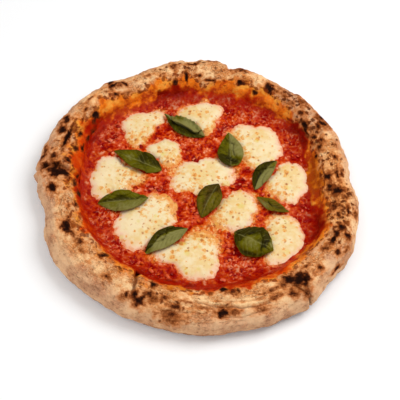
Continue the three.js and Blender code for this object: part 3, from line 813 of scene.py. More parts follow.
sauce = {
    "thickness": 1.2,
    "ripple": 0.28,
    "rippleLength": 9,
    "steps": 290,
    "underWall": 1.8,  # how far its edge runs into the rim's wall
    "under": 4.2,  # height of its underside
    "climb": 5.5,  # mm that it climbs the rim's wall, and how far from the wall it starts to
    "climbFrom": 11,
    # its lumps of pulp: (mm, size, seed, octaves), and the size of its curds
    "lumps": [(1.0, 8, 22, 2), (0.8, 3, 23, 2)],
    "cellSize": 4.8,
    # where melted cheese has run into it: x, y, reach, by
    "meltPlaces": [
        (-47, 60, 9, 0.5), (-62, 46, 9, 0.5), (-18, 92, 9, 0.7), (-16, 63, 8, 0.5), (-24, 30, 10, 0.7),
        (-50, 2, 11, 0.9), (-47, 40, 7, 0.5), (-21, -19, 6, 0.4), (20, -37, 11, 1.0), (13, -45, 12, 0.8),
        (47, -41, 9, 0.7), (65, -3, 11, 0.9), (26, -60, 8, 0.5), (40, 33, 11, 0.6), (30, 64, 10, 0.7),
        (68, -48, 7, 0.7), (54, -20, 8, 0.8), (-6, -45, 9, 0.5), (-8, -85, 6, 0.4), (71, -69, 7, 0.5),
        (-36, 17, 8, 0.3), (18, 33, 8, 0.6), (-22, 22, 7, 0.7), (22, 50, 8, 0.6), (58, -4, 7, 0.6),
        (-75, 90, 8, 0.5), (-42, 97, 8, 0.5), (-31, 20, 7, 0.7), (-38, -53, 6, 0.5), (-36, -77, 9, 0.6),
        (66, -27, 8, 0.6), (5, 112, 10, 0.6), (-64, 27, 7, 0.6), (43, 68, 8, 0.4),
    ],
    # painted shade cast by the rim along its edge: how much deeper red the sauce is there
    "shoreDeep": 0.3,
    "shoreBumps": [(90, 0.4, 30), (0, 0.5, 30), (270, 0.1, 25)],
    # where pink curds of cheese lie in it: x, y, reach
    "curdPlaces": [
        (-87, 58, 16), (-30, 103, 12), (42, 92, 13), (88, 72, 14), (-80, -36, 12), (95, -24, 9),
        (20, -10, 10), (44, -80, 14), (-62, -66, 12), (-8, 58, 12), (62, 92, 10),
    ],
    "shine": 0.1,
    "bumpDepth": 1.6,
    "bumpStrength": 0.8,
    "tints": {
        "deep": (142, 8, 0), "red": (190, 42, 4), "bright": (222, 88, 26), "pink": (220, 88, 56),
        # fleck is a painted glint on the wet pulp
        "fleck": (250, 176, 134), "curd": (244, 152, 112), "rosy": (232, 118, 76),
        "melted": (228, 106, 26), "meltedPale": (248, 196, 122), "browned": (170, 74, 26),
    },
}


def sauceTop(x, y):
    long = sauce["rippleLength"]
    ripples = np.sin(x / long + 1) * np.cos(y / (long + 2)) + 0.7 * np.sin((x + y) / (2 * long))
    return crust["baseHeight"] + clearSpace + sauce["thickness"] + sauce["ripple"] * ripples


def meltAt(x, y):
    return sum(by * mound(x - atX, y - atY, reach) for atX, atY, reach, by in sauce["meltPlaces"])


def makeSauce():
    mesh = gridMesh("tomatoSauce", sauce["steps"], sauce["steps"])
    share, angle = discShares(mesh)
    edgeRadius = sauceRadiusAt(angle)
    radius = share * (edgeRadius + sauce["underWall"])
    inside = edgeRadius - radius
    x, y = spotAt(radius, angle)
    ground = flat(x, y)
    nearest = nearestCheese(x, y)

    # lumps of pulp, and curds of cheese between them
    warped = ground + 3.0 * flat(noiseAt(ground, 4, 27, 2), noiseAt(ground, 4, 28, 2))
    cells = np.array([noise.voronoi(point)[0][0] for point in (warped / sauce["cellSize"]).tolist()])
    curdy = 0.7 * noiseAt(ground, 17, 21, 2)
    for atX, atY, reach in sauce["curdPlaces"]:
        curdy = np.maximum(curdy, 0.5 * mound(x - atX, y - atY, reach))
    curd = bell(noiseAt(ground, 5.0, 24, 3) / 0.11) * smoothStep(-0.1, 0.35, curdy)
    lumps = 1.2 * (0.5 - cells) + noiseSum(ground, sauce["lumps"]) + 0.5 * curd

    # it lies low under the cheese and climbs the rim's wall
    inner = smoothStep(0, 9, inside + 3 * noiseAt(ground, 10, 20))
    clear = smoothStep(0.88, 1.12, nearest)
    climb = sauce["climb"] * np.clip(1 - inside / sauce["climbFrom"], 0, 1.3) ** 2
    height = sauceTop(x, y) + (0.35 + 0.65 * inner) * clear * (lumps + 0.2) + climb
    height -= 0.8 * smoothStep(0.9, 0.7, nearest)
    writePoints(mesh, flat(x, y, height))

    melt = meltAt(x, y)
    spread = 0.07 + 0.5 * melt + 0.25 * noiseAt(ground, 8, 25, 2) * (0.3 + melt)
    # painted shade of the rim: the sauce is made deeper red along its edge
    shore = sauce["shoreDeep"] + bumpsAt(angle, sauce["shoreBumps"])
    amberShore = 7 * bumpsAt(angle, crust["amberBumps"])
    writeValues(
        mesh, **soaking(flat(x, y, height), angle, 1.1 * climb - 0.5 * inside), curd=curd, melt=melt,
        halo=smoothStep(1 + np.maximum(spread, 0.03), 0.98, nearest) * smoothStep(0.0, 0.25, spread),
        shore=shore * smoothStep(30, 4, inside + 5 * noiseAt(ground, 16, 29, 2)),
        inner=smoothStep(-1, 7, inside - amberShore + 4 * noiseAt(ground, 7, 26, 2)),
        pulp=0.5 + 0.4 * lumps)
    editMesh(mesh, closeBelow(sauce["under"]))
    return finishPiece(mesh, sauceMaterial(), "sauce", "sauce")


def tomatoColour(wires, spot, chunk):
    tints = tintsOf(sauce)
    patch = grain(wires, spot, 9, 2.0)
    grit = grain(wires, spot, 2.9, 2.5, 0.55)
    pulp = chunk * 0.55 + grit * 0.45 + patch.swing(0.6)
    return wires.layers(
        tints["deep"],
        (pulp.step(0.34, 0.5), tints["red"]),
        (pulp.step(0.46, 0.64), tints["bright"]),
        (patch.step(0.52, 0.7) * pulp.step(0.42, 0.6) * 0.7, tints["pink"]),
        (patch.step(0.48, 0.3) * pulp.step(0.4, 0.6) * 0.4, tints["melted"]),
        # painted glints: pale flecks on the tops of the pulp lumps
        (pulp.step(0.6, 0.74) * 0.8, tints["fleck"]))


def sauceMaterial():
    material, wires, shader, spot = startMaterial("crushedTomato")
    tints = tintsOf(sauce)
    chunk = grain(wires, spot, 3.2, 3.0, 0.6)
    fine = grain(wires, spot, 1.1, 3.0, 0.65)
    clump = grain(wires, spot, 3.0, 4.0, 0.7)
    curd = valueOf(wires, "curd") + fine.swing(1.0) + chunk.swing(0.8)
    tomato = wires.layers(
        tomatoColour(wires, spot, valueOf(wires, "pulp") * 0.65 + chunk * 0.35),
        (curd.step(0.4, 1.0) * 0.65, tints["curd"]))
    wall = soakedColour(wires, tomato, grain(wires, spot, 4.2, 4.0, 0.6), fine)

    # cheese that has run out round the patches, with browned specks
    halo = valueOf(wires, "halo")
    melted = (halo + clump.swing(2.2) + fine.swing(0.8)) * halo.step(0.0, 0.2)
    edging = wires.layers(tints["rosy"], (valueOf(wires, "melt").step(0.05, 0.45), tints["melted"]))
    speck = specksOf(wires, spot, 5.5, 0.06) * halo.step(0.1, 0.5)
    colour = wires.layers(
        tomato,
        # painted shade of the rim along the sauce's edge
        (valueOf(wires, "shore"), tints["deep"]),
        (valueOf(wires, "inner").step(0.8, 0.0), wall),
        (melted.step(0.25, 0.75) * 0.8, edging),
        (melted.step(0.75, 1.25) * 0.85, tints["meltedPale"]),
        (speck.step(0.2, 0.9) * 0.8, tints["browned"]))
    finishMaterial(wires, shader, colour, 0.08 + fine * 0.12, fine * 0.5 + chunk * 0.5, sauce)
    return material


# ---- the mozzarella

cheese = {
    "thickness": 2.7,
    "edgeThickness": 0.7,
    "flatness": 5,  # how far out the top stays level before it rounds down
    "swell": 0.25,
    "swellLength": 5,
    "under": 4.6,  # height of its underside, inside the sauce
    "smoothingSteps": 3,
    "smoothingAngle": 3,
    "raggedAngle": 0.5,
    "ragged": [(9, 1.6), (4, 1.5), (1.8, 0.9)],  # size of the lumps along the edge, mm in and out
    "spread": 0.3,  # mm that it has run out past the patch
    "soft": [(0.3, 9, 32), (0.2, 3, 33, 2)],  # low lumps on top: mm, size, seed, octaves
    "steps": 96,
    # lobes of each patch: x, y, radius
    "patches": [
        [(-61, 73, 14.5), (-45, 82, 10), (-69, 72, 10), (-62, 57, 11), (-54, 67, 9)],
        [(3, 93, 15), (12, 97, 9), (-8, 91, 12.5), (-17, 89, 8), (4, 80, 10), (5, 72, 6.5)],
        [(60, 66, 17), (42, 71, 13), (35, 68, 9), (61, 46, 14), (71, 54, 11), (48, 50, 12), (55, 38, 9)],
        [(90, 26, 15.5), (80, 14, 14), (88, 4, 11), (96, 14, 10), (72, 12, 7), (85, 33, 9)],
        [(83, -34, 16), (88, -50, 14.5), (78, -64, 12), (91, -42, 12), (74, -44, 9), (76, -53, 9)],
        [(42, -8, 13.3), (34, -18, 13.2), (26, -30, 10), (42, -28, 11.3), (50, -14, 8.5), (38, -36, 7.5)],
        [(-6, 16, 17), (14, 22, 17), (26, 20, 12.5), (4, 10, 15), (-15, 7, 11), (8, 32, 8), (20, 32, 8)],
        [(-31, 45, 12.5), (-40, 43, 9), (-27, 36, 11), (-46, 44, 6)],
        [(-83, 18, 14.5), (-89, 4, 12.5), (-76, 10, 13), (-62, 11, 11), (-89, -10, 9.5), (-70, -4, 9)],
        [(-33, -22, 16.5), (-48, -38, 17), (-57, -46, 15.5), (-51, -59, 12.5), (-28, -32, 13),
         (-59, -33, 9), (-38, -50, 11)],
        [(9, -60, 17), (13, -76, 14), (4, -86, 11), (16, -87, 8), (-10, -70, 12), (-24, -71, 10),
         (-5, -82, 8)],
    ],
    # the noise in its colours: (size, detail, roughness)
    "grains": [(14, 2.0), (4.5, 3.0, 0.55), (1.7, 2.0, 0.6), (1.1, 3.0, 0.65), (4.6, 4.0, 0.6)],
    "shine": 0.2,
    "glow": 0.15,  # how far light goes into it, as a share and in metres for red, green and blue
    "glowRadius": (0.003, 0.002, 0.001),
    "bumpDepth": 0.7,
    "bumpStrength": 0.4,
    "tints": {
        "cream": (243, 222, 176), "butter": (236, 204, 140), "rose": (246, 204, 172),
        "thin": (244, 198, 130), "melted": (228, 128, 50), "stained": (232, 134, 80),
        "gold": (238, 172, 84), "fleck": (214, 122, 44), "speck": (190, 106, 44),
        "darkSpeck": (144, 84, 38), "oil": (226, 206, 92),
    },
}


def lobeReach(lobes, centre, angle):
    # how far out the lobes go in each direction from the centre
    turn = inRadians(angle)
    reach = np.zeros_like(angle)
    for x, y, radius in lobes:
        along = (x - centre[0]) * np.cos(turn) + (y - centre[1]) * np.sin(turn)
        offset2 = (x - centre[0]) ** 2 + (y - centre[1]) ** 2 - along ** 2
        chord = np.sqrt(np.maximum(radius ** 2 - offset2, 0))
        reach = np.where(offset2 < radius ** 2, np.maximum(reach, along + chord), reach)
    return reach


def outlineOf(lobes):
    # the patch's middle, every degree from 0 to 360, and its edge's distance there
    weights = np.array([radius ** 2 for _, _, radius in lobes])
    centre = np.array([(x, y) for x, y, _ in lobes]).T @ weights / weights.sum()
    angles = np.arange(360.0)
    span = cheese["smoothingSteps"]
    total = np.zeros(360)
    for step in range(-span, span + 1):
        turned = angles + cheese["smoothingAngle"] * step
        total += (span + 1 - abs(step)) * lobeReach(lobes, centre, turned)
    radii = total / (span + 1) ** 2
    return centre, np.arange(361), np.append(radii, radii[0])


def raggedOutline(lobes):
    # the same edge in finer steps, pulled in and out as melted cheese runs
    centre, *smooth = outlineOf(lobes)
    angles = np.arange(0, 360, cheese["raggedAngle"])
    radii = np.interp(angles, *smooth)
    border = flat(*spotAt(radii, angles, centre))
    ragged = sum(by * noiseAt(border, size, 30 + size) for size, by in cheese["ragged"])
    radii = radii + ragged + cheese["spread"]
    return centre, np.append(angles, 360), np.append(radii, radii[0])


outlines = [outlineOf(lobes) for lobes in cheese["patches"]]
raggedOutlines = [raggedOutline(lobes) for lobes in cheese["patches"]]


def shareOf(outline, x, y):
    # 0 in the middle of a patch, 1 at its edge
    (middleX, middleY), angles, radii = outline
    edge = np.interp(angleOf(x - middleX, y - middleY), angles, radii)
    return np.hypot(x - middleX, y - middleY) / edge


def nearestCheese(x, y):
    return np.min([shareOf(outline, x, y) for outline in raggedOutlines], axis=0)


def cheeseThickness(share, x, y):
    dome = np.sqrt(np.maximum(0, 1 - share ** cheese["flatness"]))
    long = cheese["swellLength"]
    swell = cheese["swell"] * np.sin(x / long) * np.sin(y / long) * (1 - share)
    return cheese["edgeThickness"] + (cheese["thickness"] - cheese["edgeThickness"]) * dome + swell


def makePatch(index, outline, material):
    name = f"mozzarella_{index:02d}"
    mesh = gridMesh(name + "_melted", cheese["steps"], cheese["steps"])
    share, angle = discShares(mesh)
    centre, angles, radii = outline
    smooth = radii[:-1].mean()
    edge = np.interp(angle, angles, radii)
    radius = share * (smooth + (edge - smooth) * smoothStep(0, 1, share))
    x, y = spotAt(radius, angle, centre)
    ground = flat(x, y)
    melt = 1 - np.clip(share / 1.03, 0, 1) ** 4
    top = cheeseThickness(share, x, y) + clearSpace + noiseSum(ground, cheese["soft"])
    writePoints(mesh, flat(x, y, sauceTop(x, y) + top * melt - 0.35 * (1 - melt)))

    inwardTurn = math.atan2(-centre[1], -centre[0])
    along = ((x - centre[0]) * math.cos(inwardTurn) + (y - centre[1]) * math.sin(inwardTurn)) / smooth
    writeValues(
        mesh,
        inward=0.35 + 0.35 * along + 0.4 * meltAt(x, y) + 0.3 * noiseAt(ground, 14, 35),
        edge=smoothStep(0.5, 1.0, share + 0.1 * noiseAt(ground, 6, 34, 2)),
        rim=smoothStep(0.76, 1.01, share + 0.07 * noiseAt(ground, 4, 36, 2)))
    editMesh(mesh, closeBelow(cheese["under"]))
    return finishPiece(mesh, material, "mozzarella", name)


def cheeseMaterial():
    material, wires, shader, spot = startMaterial("meltedMozzarella")
    tints = tintsOf(cheese)
    broad, middle, small, fine, clump = [grain(wires, spot, *each) for each in cheese["grains"]]
    inward = valueOf(wires, "inward")
    edge = valueOf(wires, "edge")
    rosy = edge + middle.swing(0.8) - inward * 0.2
    border = edge * (0.15 + inward * 1.1) + clump.swing(1.9) + fine.swing(0.7)
    rim = valueOf(wires, "rim") + clump.swing(1.4) + fine.swing(0.8)

    # browned specks, and larger golden ones on the side towards the middle of the pizza
    amount = (inward - 0.45) * 0.4 + broad.swing(0.9)
    flecked = clump + small.swing(0.6) + inward.swing(0.4)
    gold = specksOf(wires, spot, 7.2, amount * 0.55 + 0.02)
    speck = specksOf(wires, spot, 5.4, amount * 0.35 - 0.09)
    oil = specksOf(wires, spot, 15, broad.swing(0.2) - 0.08)
    colour = wires.layers(
        tints["cream"],
        ((broad + middle.swing(0.6)).step(0.35, 0.65), tints["butter"]),
        (rosy.step(0.25, 0.95) * 0.8, tints["rose"]),
        (border.step(0.45, 0.9) * 0.8, tints["thin"]),
        (border.step(0.75, 1.2) * 0.9, tints["melted"]),
        (rim.step(0.3, 1.05) * 0.8, tints["stained"]),
        (flecked.step(0.54, 0.66) * inward.step(0.15, 0.6) * 0.65, tints["gold"]),
        (flecked.step(0.64, 0.76) * inward.step(0.3, 0.7) * 0.6, tints["melted"]),
        ((gold * (0.5 + small)).step(0.1, 0.8) * 0.8, tints["gold"]),
        ((gold * small * 2).step(0.75, 1.2) * 0.7, tints["fleck"]),
        (speck * 0.8, tints["speck"]),
        ((speck * small * 2).step(0.9, 1.3) * 0.6, tints["darkSpeck"]),
        (oil * 0.4, tints["oil"]))
    finishMaterial(wires, shader, colour, 0.4 + fine * 0.2, middle * 0.6 + fine * 0.4, cheese)
    wires.feed(shader.inputs["Subsurface Weight"], cheese["glow"])
    wires.feed(shader.inputs["Subsurface Radius"], cheese["glowRadius"])
    return material


# ---- bits of tomato in the sauce

bits = {
    "count": 340,
    "small": 0.8,  # radius, mm
    "large": 2.2,
    "long": 1.25,  # shares of that radius
    "wide": 0.8,
    "flatness": 0.45,
    "sunk": 0.35,
    "lumps": 0.9,
    "lumpSize": 1.6,
    "clearOfCheese": 1.07,
    "clearOfWall": 7,
    "seed": 4,
    "shine": 0.3,
    "bumpDepth": 0.6,
    "bumpStrength": 0.6,
}


def makeBits():
    random = np.random.default_rng(bits["seed"])
    bm = bmesh.new()
    draws = []
    while len(draws) < bits["count"]:
        angle = np.array([random.uniform(0, 360)])
        radius = (sauceRadiusAt(angle) - bits["clearOfWall"]) * math.sqrt(random.uniform(0, 1))
        x, y = spotAt(radius, angle)
        size = bits["small"] + (bits["large"] - bits["small"]) * random.uniform(0, 1) ** 2
        spin = random.uniform(0, 360)
        draw = random.uniform(0, 1)
        if nearestCheese(x, y)[0] < bits["clearOfCheese"]:
            continue
        height = sauceTop(x, y)[0] + bits["sunk"] * size
        spot = Matrix.Translation((x[0], y[0], height)) @ Matrix.Rotation(inRadians(spin), 4, "Z")
        stretch = Matrix.Diagonal((bits["long"] * size, bits["wide"] * size, bits["flatness"] * size, 1))
        bmesh.ops.create_icosphere(bm, subdivisions=2, radius=1, matrix=spot @ stretch)
        draws.append(draw)
    mesh = meshFrom(bm, "tomatoBits")
    points = readPoints(mesh)
    shift = np.stack([noiseAt(points, bits["lumpSize"], seed) for seed in (50, 51, 52)], axis=1)
    writePoints(mesh, points + bits["lumps"] * shift)
    writeValues(mesh, draw=np.repeat(draws, len(points) // len(draws)))
    return finishPiece(mesh, bitsMaterial(), "sauce")


def bitsMaterial():
    material, wires, shader, spot = startMaterial("tomatoPulp")
    tints = tintsOf(sauce)
    middle = grain(wires, spot, 1.6, 3.0, 0.6)
    fine = grain(wires, spot, 0.6, 2.0)
    draw = valueOf(wires, "draw") + middle.swing(0.6)
    colour = wires.layers(
        tints["deep"],
        (draw.step(0.05, 0.35), tints["red"]),
        (draw.step(0.3, 0.6), tints["bright"]),
        (draw.step(0.6, 0.85), tints["pink"]),
        ((draw + fine.swing(0.8)).step(0.85, 1.2) * 0.8, tints["curd"]))
    finishMaterial(wires, shader, colour, 0.1 + fine * 0.15, middle * 0.6 + fine * 0.4, bits)
    return material


# ---- the basil

leaf = {
    "thickness": 0.45,
    "lift": 0.55,  # so that nothing under the leaf pokes through it
    "blunt": 0.06,  # its least width, at base and tip, as a share of the whole
    "plump": 0.85,  # below 1 rounds its outline out
    "waves": 2.5,  # ripples along each edge
    "foldRadius": 2,
    "foldRise": 0.2,
    "restReach": 3,  # how far round a point it finds what it rests on
    "restSteps": 8,
    "alongSteps": 72,
    "acrossSteps": 40,
    "veins": 8,
    "ribWidth": 0.9,
    "ribDepth": 0.45,
    "puff": 1.15,  # how high the blade swells between two veins
    "slitWidth": 0.7,
    "slitDepth": 0.9,
    # base and tip, width, how far it bows aside and where it is widest, how it arches, cups and
    # waves, and the painted light and shade of its two sides; then lighter or darker places on it, partly
    # painted highlight and shade, as (along, side, reach along, reach across, by), and dark slits, painted
    # shadow in its folds, as lines of (along, side)
    "leaves": [
        dict(base=(-37, 85.5), tip=(4, 63), wide=18, bow=-2.5, fullest=0.55, arch=1.8, cup=0, wave=0.4,
             fold=12, tone=(0.85, 0.25),
             places=[(0.3, 0.6, 0.15, 0.5, -0.2)]),
        dict(base=(-34, 19.5), tip=(-81, 37.5), wide=22.5, bow=0.5, fullest=0.44, arch=1.4, cup=0.4,
             wave=0.6, tone=(0.35, 0.3), slitBy=0.4,
             places=[(0.66, 0.0, 0.16, 0.6, 0.35), (0.42, -0.1, 0.1, 0.6, -0.25),
                     (0.12, 0.3, 0.15, 0.5, 0.2), (0.2, -0.6, 0.3, 0.2, -0.2)],
             slits=[[(0.5, -0.5), (0.42, -0.1), (0.3, 0.2)]]),
        dict(base=(31, 29), tip=(27, 69), wide=25, bow=-0.5, fullest=0.36, arch=0.9, cup=0.4, wave=0.6,
             tone=(0.35, 0.85),
             places=[(0.14, 0.0, 0.13, 0.9, -1.2), (0.6, 0, 0.12, 0.3, 0.2),
                     (0.4, 0.0, 0.25, 0.12, -0.4)],
             slits=[[(0.12, 0.1), (0.3, 0.0)], [(0.16, -0.5), (0.22, 0.4)]]),
        dict(base=(55, 6), tip=(74.5, 39.5), wide=16.5, bow=3, fullest=0.47, arch=1.6, cup=-1.5,
             wave=0.5, tone=(0.2, 0.8),
             places=[(0.85, 0.0, 0.15, 0.8, -0.3), (0.3, -0.4, 0.2, 0.4, 0.2),
                     (0.5, 0.2, 0.35, 0.15, -0.25)],
             slits=[[(0.08, 0.1), (0.3, 0.2), (0.45, 0.2)]]),
        dict(base=(57.5, -2.5), tip=(87, -17.5), wide=12.5, bow=-1.5, fullest=0.5, arch=1.1, cup=0.5,
             wave=0.5, tone=(0.5, 0.45), bronze=0.45,
             places=[(0.3, -0.6, 0.25, 0.5, 0.35), (0.75, 0.2, 0.2, 0.6, -0.3)],
             slits=[[(0.34, 0.3), (0.44, 0.05), (0.54, -0.15)]]),
        dict(base=(20.5, 7), tip=(7, -29.5), wide=22.5, bow=-1, fullest=0.48, arch=1.6, cup=-2, wave=0.6,
             tone=(0.38, 0.22), slitBy=0.5, bronze=0.3,
             places=[(0.12, 0.2, 0.12, 0.6, -0.5), (0.6, -0.6, 0.3, 0.3, 0.25),
                     (0.5, 0.4, 0.25, 0.3, 0.2), (0.4, -0.1, 0.3, 0.15, -0.2)],
             slits=[[(0.1, 0.15), (0.3, 0.05)]]),
        dict(base=(-43.5, -15), tip=(-89, -23.5), wide=23, bow=1.5, fullest=0.5, arch=2, cup=-1.6,
             wave=0.5, tone=(0.68, 0.38),
             places=[(0.5, -0.1, 0.35, 0.3, -0.25), (0.3, -0.7, 0.3, 0.2, 0.15)]),
        dict(base=(-5, -43), tip=(-41, -73.5), wide=19, bow=-1.5, fullest=0.47, arch=1.1, cup=0.6,
             wave=0.4, ridge=-0.4, tone=(0.82, 0.2),
             places=[(0.92, 0.0, 0.1, 0.9, -0.3), (0.5, 0.1, 0.3, 0.3, 0.1)],
             slits=[[(0.55, -0.5), (0.7, -0.35), (0.85, -0.1)]]),
        dict(base=(38, -44.5), tip=(73.5, -61), wide=33, bow=-1, fullest=0.5, arch=4, cup=-3, wave=0.8,
             crumple=3, tone=(0.32, 0.45),
             places=[(0.16, 0.0, 0.1, 0.8, -0.6), (0.45, 0.7, 0.25, 0.2, -0.35),
                     (0.9, 0.5, 0.08, 0.4, 0.6), (0.45, -0.1, 0.2, 0.4, 0.25),
                     (0.76, 0.2, 0.06, 0.5, -0.9), (0.5, -0.85, 0.3, 0.12, -0.3),
                     (0.35, 0.35, 0.08, 0.15, -0.6)],
             slits=[[(0.84, 0.6), (0.76, 0.25), (0.8, -0.2), (0.94, -0.4)], [(0.4, 0.45), (0.34, 0.2)]]),
    ],
    "shine": 0.05,
    "bumpDepth": 0.4,
    "bumpStrength": 0.5,
    "tints": {
        "dark": (54, 49, 0), "green": (97, 91, 6), "light": (140, 134, 80), "vein": (150, 144, 84),
        "bronze": (110, 76, 28), "slit": (26, 20, 4),
    },
}


def toppingTop(x, y):
    top = sauceTop(x, y)
    for outline in outlines:
        share = shareOf(outline, x, y)
        cheeseTop = sauceTop(x, y) + clearSpace + cheeseThickness(np.minimum(share, 1), x, y)
        top = np.where(share < 1, np.maximum(top, cheeseTop), top)
    return top


def restHeight(x, y):
    # a leaf rests on the highest thing under it or close beside it
    top = toppingTop(x, y)
    aside = leaf["restReach"]
    for step in range(leaf["restSteps"]):
        turn = step / leaf["restSteps"] * 2 * math.pi
        top = np.maximum(top, toppingTop(x + aside * math.cos(turn), y + aside * math.sin(turn)))
    return top + clearSpace


def leafPoints(shape, along, side):
    # where the leaf lies, and how dark the shade beside its folded flap is
    base = np.array(shape["base"], float)
    axis = np.array(shape["tip"], float) - base
    length = np.hypot(*axis)
    axis /= length
    across = np.array((-axis[1], axis[0]))
    middle = 4 * along * (1 - along)
    skew = math.log(0.5) / math.log(shape["fullest"])
    fullness = np.sin(math.pi * np.clip(along, 1e-6, 1 - 1e-6) ** skew) ** leaf["plump"]
    halfWidth = shape["wide"] / 2 * np.maximum(fullness, leaf["blunt"])

    fold = shape.get("fold", 0)
    folded = fold * smoothStep(0.3, 0.75, fullness)
    run = side * (halfWidth + np.where(side > 0, folded, 0))
    bendRadius = np.minimum(leaf["foldRadius"], 0.35 * halfWidth)
    past = run - (halfWidth - bendRadius) if fold else np.full_like(run, -1.0)
    bend = np.clip(past / bendRadius, 0, math.pi)
    straight = np.maximum(0, past - math.pi * bendRadius)
    reach = np.where(past > 0, halfWidth - bendRadius + bendRadius * np.sin(bend) - straight, run)
    lift = np.where(past > 0, bendRadius * (1 - np.cos(bend)) + leaf["foldRise"] * straight, 0)

    spot = base + axis * (along * length)[:, None] + across * (shape["bow"] * middle + reach)[:, None]
    edge = side ** 2
    cup = shape["cup"]
    lift = lift + shape["arch"] * middle + (cup * (edge - 1) if cup < 0 else cup * edge) * middle
    lift = lift + shape["wave"] * np.sin(2 * math.pi * leaf["waves"] * along + 2 * side) * edge * middle
    height = restHeight(spot[:, 0], spot[:, 1]) + np.maximum(lift, 0)
    overlap = np.maximum(0, folded - (math.pi - 1) * bendRadius)
    fromFlap = run - (halfWidth - bendRadius - overlap)
    shaded = bell((fromFlap - 1.5) / 1.7) * (past <= 0) * smoothStep(0.5, 3, overlap)
    return flat(spot[:, 0], spot[:, 1], height), shaded


def slitsOn(shape, along, side, slit):
    # adds the leaf's slits, dark with painted shadow, to the painted shade already beside the flap
    length, halfWidth = math.dist(shape["base"], shape["tip"]), shape["wide"] / 2
    for line in shape.get("slits", ()):
        spots = np.array(line) * (length, halfWidth)
        for start, end in zip(spots, spots[1:]):
            away, _ = segmentDistance(along * length, side * halfWidth, start, end)
            slit = np.maximum(slit, shape.get("slitBy", 1) * bell(away / leaf["slitWidth"]))
    return slit


def makeLeaf(index, shape, material):
    name = f"basil_{index:02d}"
    acrossSteps = leaf["acrossSteps"] * (2 if shape.get("fold") else 1)
    mesh = gridMesh(name + "_leaf", leaf["alongSteps"], acrossSteps)
    grid = readPoints(mesh)
    along, side = grid[:, 0] + 0.5, grid[:, 1] * 2
    points, shaded = leafPoints(shape, along, side)
    writePoints(mesh, points)
    normals = readNormals(mesh)
    slit = slitsOn(shape, along, side, shaded)
    out = np.abs(side)
    between = np.abs(np.sin(math.pi * leaf["veins"] * (along * 1.15 - 0.28 * out)))
    rib = bell(side * shape["wide"] / 2 / leaf["ribWidth"])
    puff = leaf["puff"] * np.sqrt(between) * smoothStep(0, 0.25, out) * smoothStep(1.0, 0.7, out)
    puff += 0.5 * noiseAt(points, 6, 40 + index, 2)
    puff += shape.get("crumple", 0) * noiseAt(points, 9, 60 + index, 2)
    relief = (puff - leaf["ribDepth"] * rib - leaf["slitDepth"] * slit) * 4 * along * (1 - along)
    writePoints(mesh, points + normals * relief[:, None] + (0, 0, leaf["lift"]))

    # painted light and shade: one side of the leaf lit and the other shaded, with lighter and darker
    # places
    left, right = shape["tone"]
    tone = right + (left - right) * smoothStep(-0.1, 0.1, side - shape.get("ridge", 0))
    for atAlong, atSide, reachAlong, reachSide, by in shape["places"]:
        tone += by * mound((along - atAlong) / reachAlong, (side - atSide) / reachSide, 1)
    writeValues(
        mesh, rib=rib, tone=tone, slit=slit, bronze=np.full_like(along, shape.get("bronze", 0)),
        sideVein=bell(between / 0.2) * smoothStep(1.0, 0.75, out),
        border=smoothStep(0.75, 1.0, np.maximum(out, np.abs(2 * along - 1))))
    piece = finishPiece(mesh, material, "basil", name)
    solid = piece.modifiers.new("thickness", "SOLIDIFY")
    solid.thickness = leaf["thickness"] * toMetres
    solid.offset = 1
    return piece


def basilMaterial():
    material, wires, shader, spot = startMaterial("wiltedBasil")
    tints = tintsOf(leaf)
    broad = grain(wires, spot, 9, 2.0)
    middle = grain(wires, spot, 2.6, 3.0, 0.55)
    fine = grain(wires, spot, 0.7, 2.0)
    tone = valueOf(wires, "tone") + broad.swing(0.5) + middle.swing(0.35)
    bronze = (valueOf(wires, "border") * fine * 1.4).step(0.4, 1.0) * 0.5 + valueOf(wires, "bronze")
    colour = wires.layers(
        tints["dark"],
        # painted light and shade: from dark to green as the shading rises, then a pale painted sheen
        (tone.step(0.15, 0.5), tints["green"]),
        (tone.step(0.5, 0.9) * 0.8, tints["light"]),
        (valueOf(wires, "sideVein") * middle.step(0.35, 0.6) * 0.4, tints["vein"]),
        (valueOf(wires, "rib") * 0.45, tints["vein"]),
        (bronze * middle.step(0.3, 0.6), tints["bronze"]),
        # painted shadow in the slits and beside the folded flap
        (valueOf(wires, "slit") * 0.85, tints["slit"]))
    finishMaterial(wires, shader, colour, 0.35 + middle * 0.25, middle * 0.5 + fine * 0.5, leaf)
    return material


# ---- floor, light and camera

studio = {
    "floorColour": (0.96, 0.96, 0.96),
    "floorShade": (0.9312, 0.9312, 0.9312),
    "floorRoughness": 0.9,
    "floorShine": 0.1,
    "floorGlow": 0.08,
    "floorSize": 3000,
    "worldColour": (1.0, 1.0, 1.0),
    "worldStrength": 0.42,
    # name, place, size, power
    "lights": [("keyLight", (540, 220, 880), 650, 7.2), ("fillLight", (-650, -350, 800), 900, 3.4)],
    "cameraPlace": (4.035, -503.227, 743.840),
    "cameraTarget": (4.035, -14.545, 12),
    "cameraRoll": 4.60,
    "lens": 85.83,
    "sensorWidth": 36,
}


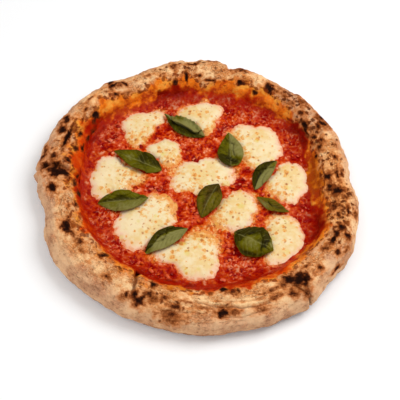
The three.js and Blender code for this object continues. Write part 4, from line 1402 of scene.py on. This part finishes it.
def makeFloor():
    mesh = gridMesh("floor", 8, 8, studio["floorSize"] * toMetres)
    material, wires, shader, spot = startMaterial("paleFloor")
    cloud = grain(wires, spot, 60, 3.0)
    pale = wires.layers(studio["floorColour"], (cloud, studio["floorShade"]))
    wires.feed(shader.inputs["Base Color"], pale)
    wires.feed(shader.inputs["Roughness"], studio["floorRoughness"])
    wires.feed(shader.inputs["Specular IOR Level"], studio["floorShine"])
    wires.feed(shader.inputs["Emission Color"], (1, 1, 1))
    wires.feed(shader.inputs["Emission Strength"], studio["floorGlow"])
    mesh.materials.append(material)
    addObject("floor", mesh)


def makeLights():
    for name, place, size, power in studio["lights"]:
        lamp = bpy.data.lights.new(name, "AREA")
        lamp.size = size * toMetres
        lamp.energy = power
        light = addObject(name, lamp)
        light.location = Vector(place) * toMetres
        light.rotation_euler = (-light.location).to_track_quat("-Z", "Y").to_euler()


def makeWorld():
    world = bpy.data.worlds.new("studio")
    world.use_nodes = True
    back = world.node_tree.nodes["Background"]
    back.inputs["Color"].default_value = (*studio["worldColour"], 1)
    back.inputs["Strength"].default_value = studio["worldStrength"]
    world.cycles_visibility.glossy = False
    bpy.context.scene.world = world
    bpy.context.scene.view_settings.view_transform = "Standard"


def makeCamera():
    lens = bpy.data.cameras.new("camera")
    lens.lens = studio["lens"]
    lens.sensor_width = studio["sensorWidth"]
    camera = addObject("camera", lens)
    spot = Vector(studio["cameraPlace"]) * toMetres
    aim = Vector(studio["cameraTarget"]) * toMetres - spot
    turn = aim.to_track_quat("-Z", "Y").to_matrix().to_4x4()
    roll = Matrix.Rotation(math.radians(studio["cameraRoll"]), 4, "Z")
    camera.matrix_world = Matrix.Translation(spot) @ turn @ roll
    bpy.context.scene.camera = camera


makeCrust()
print("crust made")
makeSauce()
print("sauce made")
makeBits()
print("tomato bits made")
melted = cheeseMaterial()
for index, outline in enumerate(raggedOutlines, 1):
    makePatch(index, outline, melted)
print("mozzarella made")
wilted = basilMaterial()
for index, shape in enumerate(leaf["leaves"], 1):
    makeLeaf(index, shape, wilted)
print("basil made")
makeFloor()
makeWorld()
makeLights()
makeCamera()
print("floor, light and camera made")
